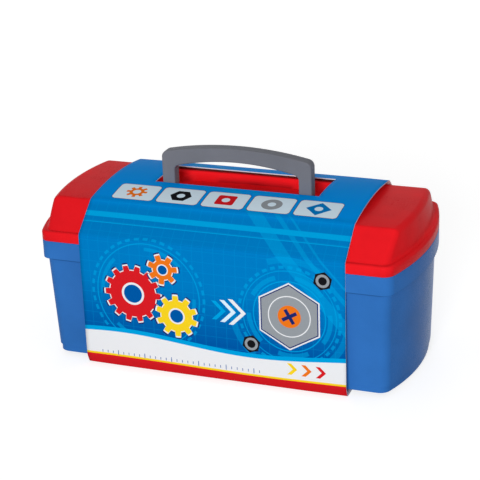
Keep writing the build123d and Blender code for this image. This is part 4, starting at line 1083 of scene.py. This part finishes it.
    def build(self) -> None:
        """Make the three panels, dress them and let each ride on its body."""
        finish = PrintedCard("card_print", self.under_length()).material()
        inside = Finish.BARE_CARD.value.material()
        y, z = self.line.T
        front = y < self.middle_y
        raised = self.length >= -self.step / 2
        over = raised & ((z >= self.axis_z) | ~front)
        flap = raised & front & (z <= self.axis_z)
        flap[np.flatnonzero(over)[0]] = True
        base = ~raised
        base[np.flatnonzero(raised)[0]] = True
        window_low, window_high = self.window_edges()
        for name, body, chosen, hole in (
                ("sleeve_cover", "lid", over, (window_high.x, window_low.y, window_high.y)),
                ("sleeve_front", "sleeve_flap", flap, None),
                ("sleeve_base", "box", base, None)):
            piece = self.panel(name + "_card", chosen, hole)
            piece.data.materials.append(finish)
            piece.data.materials.append(inside)
            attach(piece, body)
            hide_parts(name)
            LOG.info("%s: %d faces, rides on %s", piece.name, len(piece.data.polygons), body)

    def window_edges(self) -> tuple[Vector, Vector]:
        """Find the window over the handle on the CAD panel.

        The panel's vertices that lie well inside its outline and high on the crown belong
        to the window, so their least and greatest places are its edges.

        Returns:
            The window's lowest and highest corner.
        """
        points = vertex_places(frame["nodes"]["sleeve_cover"].data)
        edge = points[(abs(points[:, 0]) < self.half_length * 0.9) & (points[:, 2] > self.window_z)]
        return Vector(edge.min(axis=0)), Vector(edge.max(axis=0))


@dataclass
class LidShell:
    """The lid that shows: the CAD lid with the flat-topped ends of the photograph.

    Only its two ends, outside the card, differ. There the height of a point changes by the
    gap between the new section and the CAD lid's, in proportion to how high it lies between
    the flange and the top. Under the card the change fades out.
    """

    half_depth: float = 0.0810
    reach_y: float = 0.0770
    crease_y: float = 0.0530
    foot_z: float = 0.1210
    crease_z: float = 0.1417
    crown_rise: float = 0.0076
    front_z: float = 0.1436
    back_z: float = 0.1423
    top_rise: float = 0.0009
    ease: float = 0.0035
    start_x: float = 0.1055
    full_x: float = 0.1165
    strip: float = 0.0028
    fade_cuts: int = 5
    sharp_angle: float = 0.50
    weld: float = 1e-6
    table_step: float = 0.0001
    table_margin: float = 0.02
    least_height: float = 0.0005

    def sliced(self, middle_y: float) -> bpy.types.Mesh:
        """Copy the CAD lid, merge its triangles and slice its ends into narrow strips.

        Args:
            middle_y: The middle of the box, front to back.

        Returns:
            The new mesh, in the CAD lid's place.
        """
        work = bmesh.new()
        work.from_mesh(frame["nodes"]["lid"].data)
        bmesh.ops.remove_doubles(work, verts=work.verts, dist=self.weld)
        for x in np.linspace(self.start_x, self.full_x, self.fade_cuts):
            for side in (-x, x):
                bmesh.ops.bisect_plane(work, geom=[*work.verts, *work.edges, *work.faces],
                                       plane_co=(side, 0, 0), plane_no=(1, 0, 0))
        ends = [face for face in work.faces
                if min(abs(corner.co.x) for corner in face.verts) > self.start_x - self.weld
                and max(corner.co.z for corner in face.verts) > self.foot_z]
        region = {*ends, *(edge for face in ends for edge in face.edges),
                  *(corner for face in ends for corner in face.verts)}
        for y in np.arange(-self.reach_y, self.reach_y, self.strip):
            region = bmesh.ops.bisect_plane(work, geom=list(region), plane_co=(0, middle_y + y, 0),
                                            plane_no=(0, 1, 0))["geom"]
        bmesh.ops.triangulate(work, faces=work.faces)
        mesh = bpy.data.meshes.new("lid_shell")
        work.to_mesh(mesh)
        work.free()
        return mesh

    def section(self, y: np.ndarray, front_z: float, back_z: float, rise: float) -> np.ndarray:
        """Height of a lid's section: straight slopes, and a parabola between the creases.

        Args:
            y: Places from front to back, about the middle of the box.
            front_z: Height of the front crease.
            back_z: Height of the back crease.
            rise: Height of the parabola.

        Returns:
            The height at each place.
        """
        marks = (-self.reach_y, -self.crease_y, self.crease_y, self.reach_y)
        slopes = np.interp(y, marks, (self.foot_z, front_z, back_z, self.foot_z))
        return slopes + rise * np.clip(1 - (y / self.crease_y) ** 2, 0, None)

    def reshaped(self, points: np.ndarray) -> np.ndarray:
        """Raise or lower the points of the two ends.

        The gap between the two sections is softened by a moving average across the
        creases. Along the box the change fades in with a smooth cubic step.

        Args:
            points: Places about the middle of the box, one row each.

        Returns:
            The new heights.
        """
        reach = self.reach_y + self.table_margin
        table = np.arange(-reach, reach, self.table_step)
        gap = (self.section(table, self.front_z, self.back_z, self.top_rise)
               - self.section(table, self.crease_z, self.crease_z, self.crown_rise))
        gap = running_mean(gap, int(self.ease / self.table_step))
        x, y, z = points.T
        height = self.section(y, self.crease_z, self.crease_z, self.crown_rise) - self.foot_z
        share = np.clip((z - self.foot_z) / np.maximum(height, self.least_height), 0, 1)
        step = np.clip((abs(x) - self.start_x) / (self.full_x - self.start_x), 0, 1)
        return z + np.interp(y, table, gap) * share * step ** 2 * (3 - 2 * step)

    def build(self) -> None:
        """Make the shell, shade it by area and angle, and let it stand for the CAD lid."""
        middle_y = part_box("lid")[0].y + self.half_depth
        mesh = self.sliced(middle_y)
        points = vertex_places(mesh)
        points[:, 2] = self.reshaped(points - (0, middle_y, 0))
        mesh.vertices.foreach_set("co", points.ravel())
        mesh.shade_smooth()
        mesh.set_sharp_from_angle(angle=self.sharp_angle)
        mesh.update()
        mesh.materials.clear()
        mesh.materials.append(Finish.LID.value.material())
        piece = linked("lid_shell", mesh)
        weighted = piece.modifiers.new("area_shading", "WEIGHTED_NORMAL")
        weighted.keep_sharp = True
        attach(piece, "lid")
        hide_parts("lid")
        LOG.info("%s: %d faces", piece.name, len(mesh.polygons))


# Finishes on the CAD nodes


def dress(node: str, finish: bpy.types.Material) -> None:
    """Give a CAD node its finish.

    Args:
        node: The node's name.
        finish: The material for its only slot.
    """
    mesh = frame["nodes"][node].data
    mesh.materials.clear()
    mesh.materials.append(finish)
    LOG.info("%s: %s", node, finish.name)


@dataclass
class Case:
    """The moulded case without its lid: tub, handle, latch, sticker and pins."""

    label_edge: float = 0.0750

    def build(self) -> None:
        """Dress the case's nodes."""
        wire = Finish.WIRE.value.material()
        dress("base_tub", Finish.TUB.value.material())
        dress("handle", Finish.HANDLE.value.material())
        dress("latch", Finish.LATCH.value.material())
        for pin in ("latch_pin", "hinge_pin_left", "hinge_pin_right"):
            dress(pin, wire)
        low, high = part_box("front_label")
        dress("front_label", Sticker("sticker_yellow", self.label_edge, low.z, high.z).material())


@dataclass
class Contents:
    """The bench and the toy tools that lie in the tub."""

    def build(self) -> None:
        """Dress the bench and every tool."""
        groups = {
            Finish.BENCH: ("bench_top", "bench_end_left", "bench_end_right"),
            Finish.TOOL_RED: ("hammer_handle", "saw", "rule_leg_lower", "rule_leg_middle", "rule_leg_upper"),
            Finish.TOOL_ORANGE: ("spanner", "screwdriver_handle"),
            Finish.TOOL_YELLOW: ("hammer_head", "screwdriver_blade", "rule_rivet_lower", "rule_rivet_upper"),
            Finish.TOOL_BLUE: ("pliers_lower", "pliers_upper", "wrench_body", "wrench_jaw", "wrench_wheel"),
            Finish.TOOL_GREY: ("drill_lower_shell", "drill_upper_shell", "drill_bit"),
            Finish.TOOL_BLACK: ("drill_trigger", "drill_chuck", "bolts", "nuts"),
            Finish.WIRE: ("pliers_pin", "wrench_pin"),
        }
        for finish, nodes in groups.items():
            material = finish.value.material()
            for node in nodes:
                dress(node, material)


# Studio


@dataclass(frozen=True)
class Lamp:
    """A soft square lamp: its place, its power in watts, its side and whether gloss mirrors it."""

    name: str
    place: tuple[float, float, float]
    power: float
    mirrored: bool = True
    size: float = 0.8

    def build(self, aim: tuple[float, float, float]) -> None:
        """Hang the lamp.

        Args:
            aim: The point that it looks at.
        """
        data = bpy.data.lights.new(self.name, "AREA")
        data.size = self.size
        data.energy = self.power
        lamp = linked(self.name, data)
        lamp.location = self.place
        lamp.rotation_euler = (Vector(aim) - Vector(self.place)).to_track_quat("-Z", "Y").to_euler()
        lamp.visible_glossy = self.mirrored
        LOG.info("%s: %.1f W", self.name, self.power)


@dataclass
class Studio:
    """White table, soft light from the front right and the camera of the photograph."""

    eye: tuple[float, float, float] = (0.434362, -1.132416, 0.571928)
    yaw: float = -0.3690
    pitch: float = 0.3731
    roll: float = -0.0363
    lens: float = 111.30
    sensor: float = 36.0
    lamps: tuple[Lamp, ...] = (Lamp("key_lamp", (0.50, -2.80, 0.92), 57.0),
                               Lamp("rear_lamp", (-0.60, 2.00, 0.60), 9.0, mirrored=False))
    lamp_aim: tuple[float, float, float] = (0.0, 0.0, 0.08)
    floor_size: float = 8.0
    floor_glow: float = 0.72
    floor_grey: float = 0.55
    room_light: float = 0.34

    def camera(self) -> None:
        """Set the camera: heading, then tilt, then roll, as columns of its matrix."""
        ahead = Vector((sin(self.yaw) * cos(self.pitch), cos(self.yaw) * cos(self.pitch), -sin(self.pitch)))
        right = Vector((cos(self.yaw), -sin(self.yaw), 0.0))
        above = right.cross(ahead)
        side = right * cos(self.roll) + above * sin(self.roll)
        top = above * cos(self.roll) - right * sin(self.roll)
        data = bpy.data.cameras.new("camera")
        data.sensor_width = self.sensor
        data.lens = self.lens
        camera = linked("camera", data)
        camera.matrix_world = Matrix.Translation(self.eye) @ Matrix((side, top, -ahead)).transposed().to_4x4()
        bpy.context.scene.camera = camera

    def seen(self, board: Board) -> Signal:
        """Tell the rays that the eye, a reflection or a clear material sends out.

        Args:
            board: The nodes of the floor or the room.

        Returns:
            1 on such rays and 0 on others.
        """
        outputs = board.node("ShaderNodeLightPath").outputs
        rays = ("Camera", "Glossy", "Transmission")
        eye, gloss, clear = (Signal(board, outputs[f"Is {ray} Ray"]) for ray in rays)
        return eye | gloss | clear

    def floor(self) -> None:
        """Lay the white table: plain diffuse, with a little light of its own where it is seen."""
        board = Board.named("table_white")
        matt = board.add("ShaderNodeBsdfDiffuse", values={"Color": (self.floor_grey,) * 3})
        glow = board.add("ShaderNodeEmission", values={"Strength": self.seen(board) * self.floor_glow})
        both = board.add("ShaderNodeAddShader", values={0: matt, 1: glow})
        board.node("ShaderNodeOutputMaterial", values={"Surface": both})
        half = self.floor_size / 2
        corners = np.array([(-half, -half, 0.0), (half, -half, 0.0), (half, half, 0.0), (-half, half, 0.0)])
        plane = build_mesh("table", corners, np.array([[0, 1, 2, 3]]), np.array([False]), np.array([0]))
        plane.data.materials.append(board.owner)

    def sky(self) -> None:
        """White room: full white where it is seen, and dimmer as a source of light."""
        board = Board(bpy.data.worlds.new("room"))
        bpy.context.scene.world = board.owner
        strength = self.seen(board) * (1 - self.room_light) + self.room_light
        light = board.add("ShaderNodeBackground", values={"Color": (1.0, 1.0, 1.0), "Strength": strength})
        board.node("ShaderNodeOutputWorld", values={"Surface": light})

    def build(self) -> None:
        """Set the camera, the lamps, the table and the room."""
        self.camera()
        for lamp in self.lamps:
            lamp.build(self.lamp_aim)
        self.floor()
        self.sky()
        bpy.context.scene.view_settings.view_transform = "Standard"


def main() -> None:
    """Dress the case and its contents, fold the sleeve round them and light the scene."""
    logging.basicConfig(level=logging.INFO, format="%(name)s %(message)s")
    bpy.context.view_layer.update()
    for part in (Case(), LidShell(), Contents(), CardSleeve(), Studio()):
        part.build()


if __name__ == "__main__":
    main()
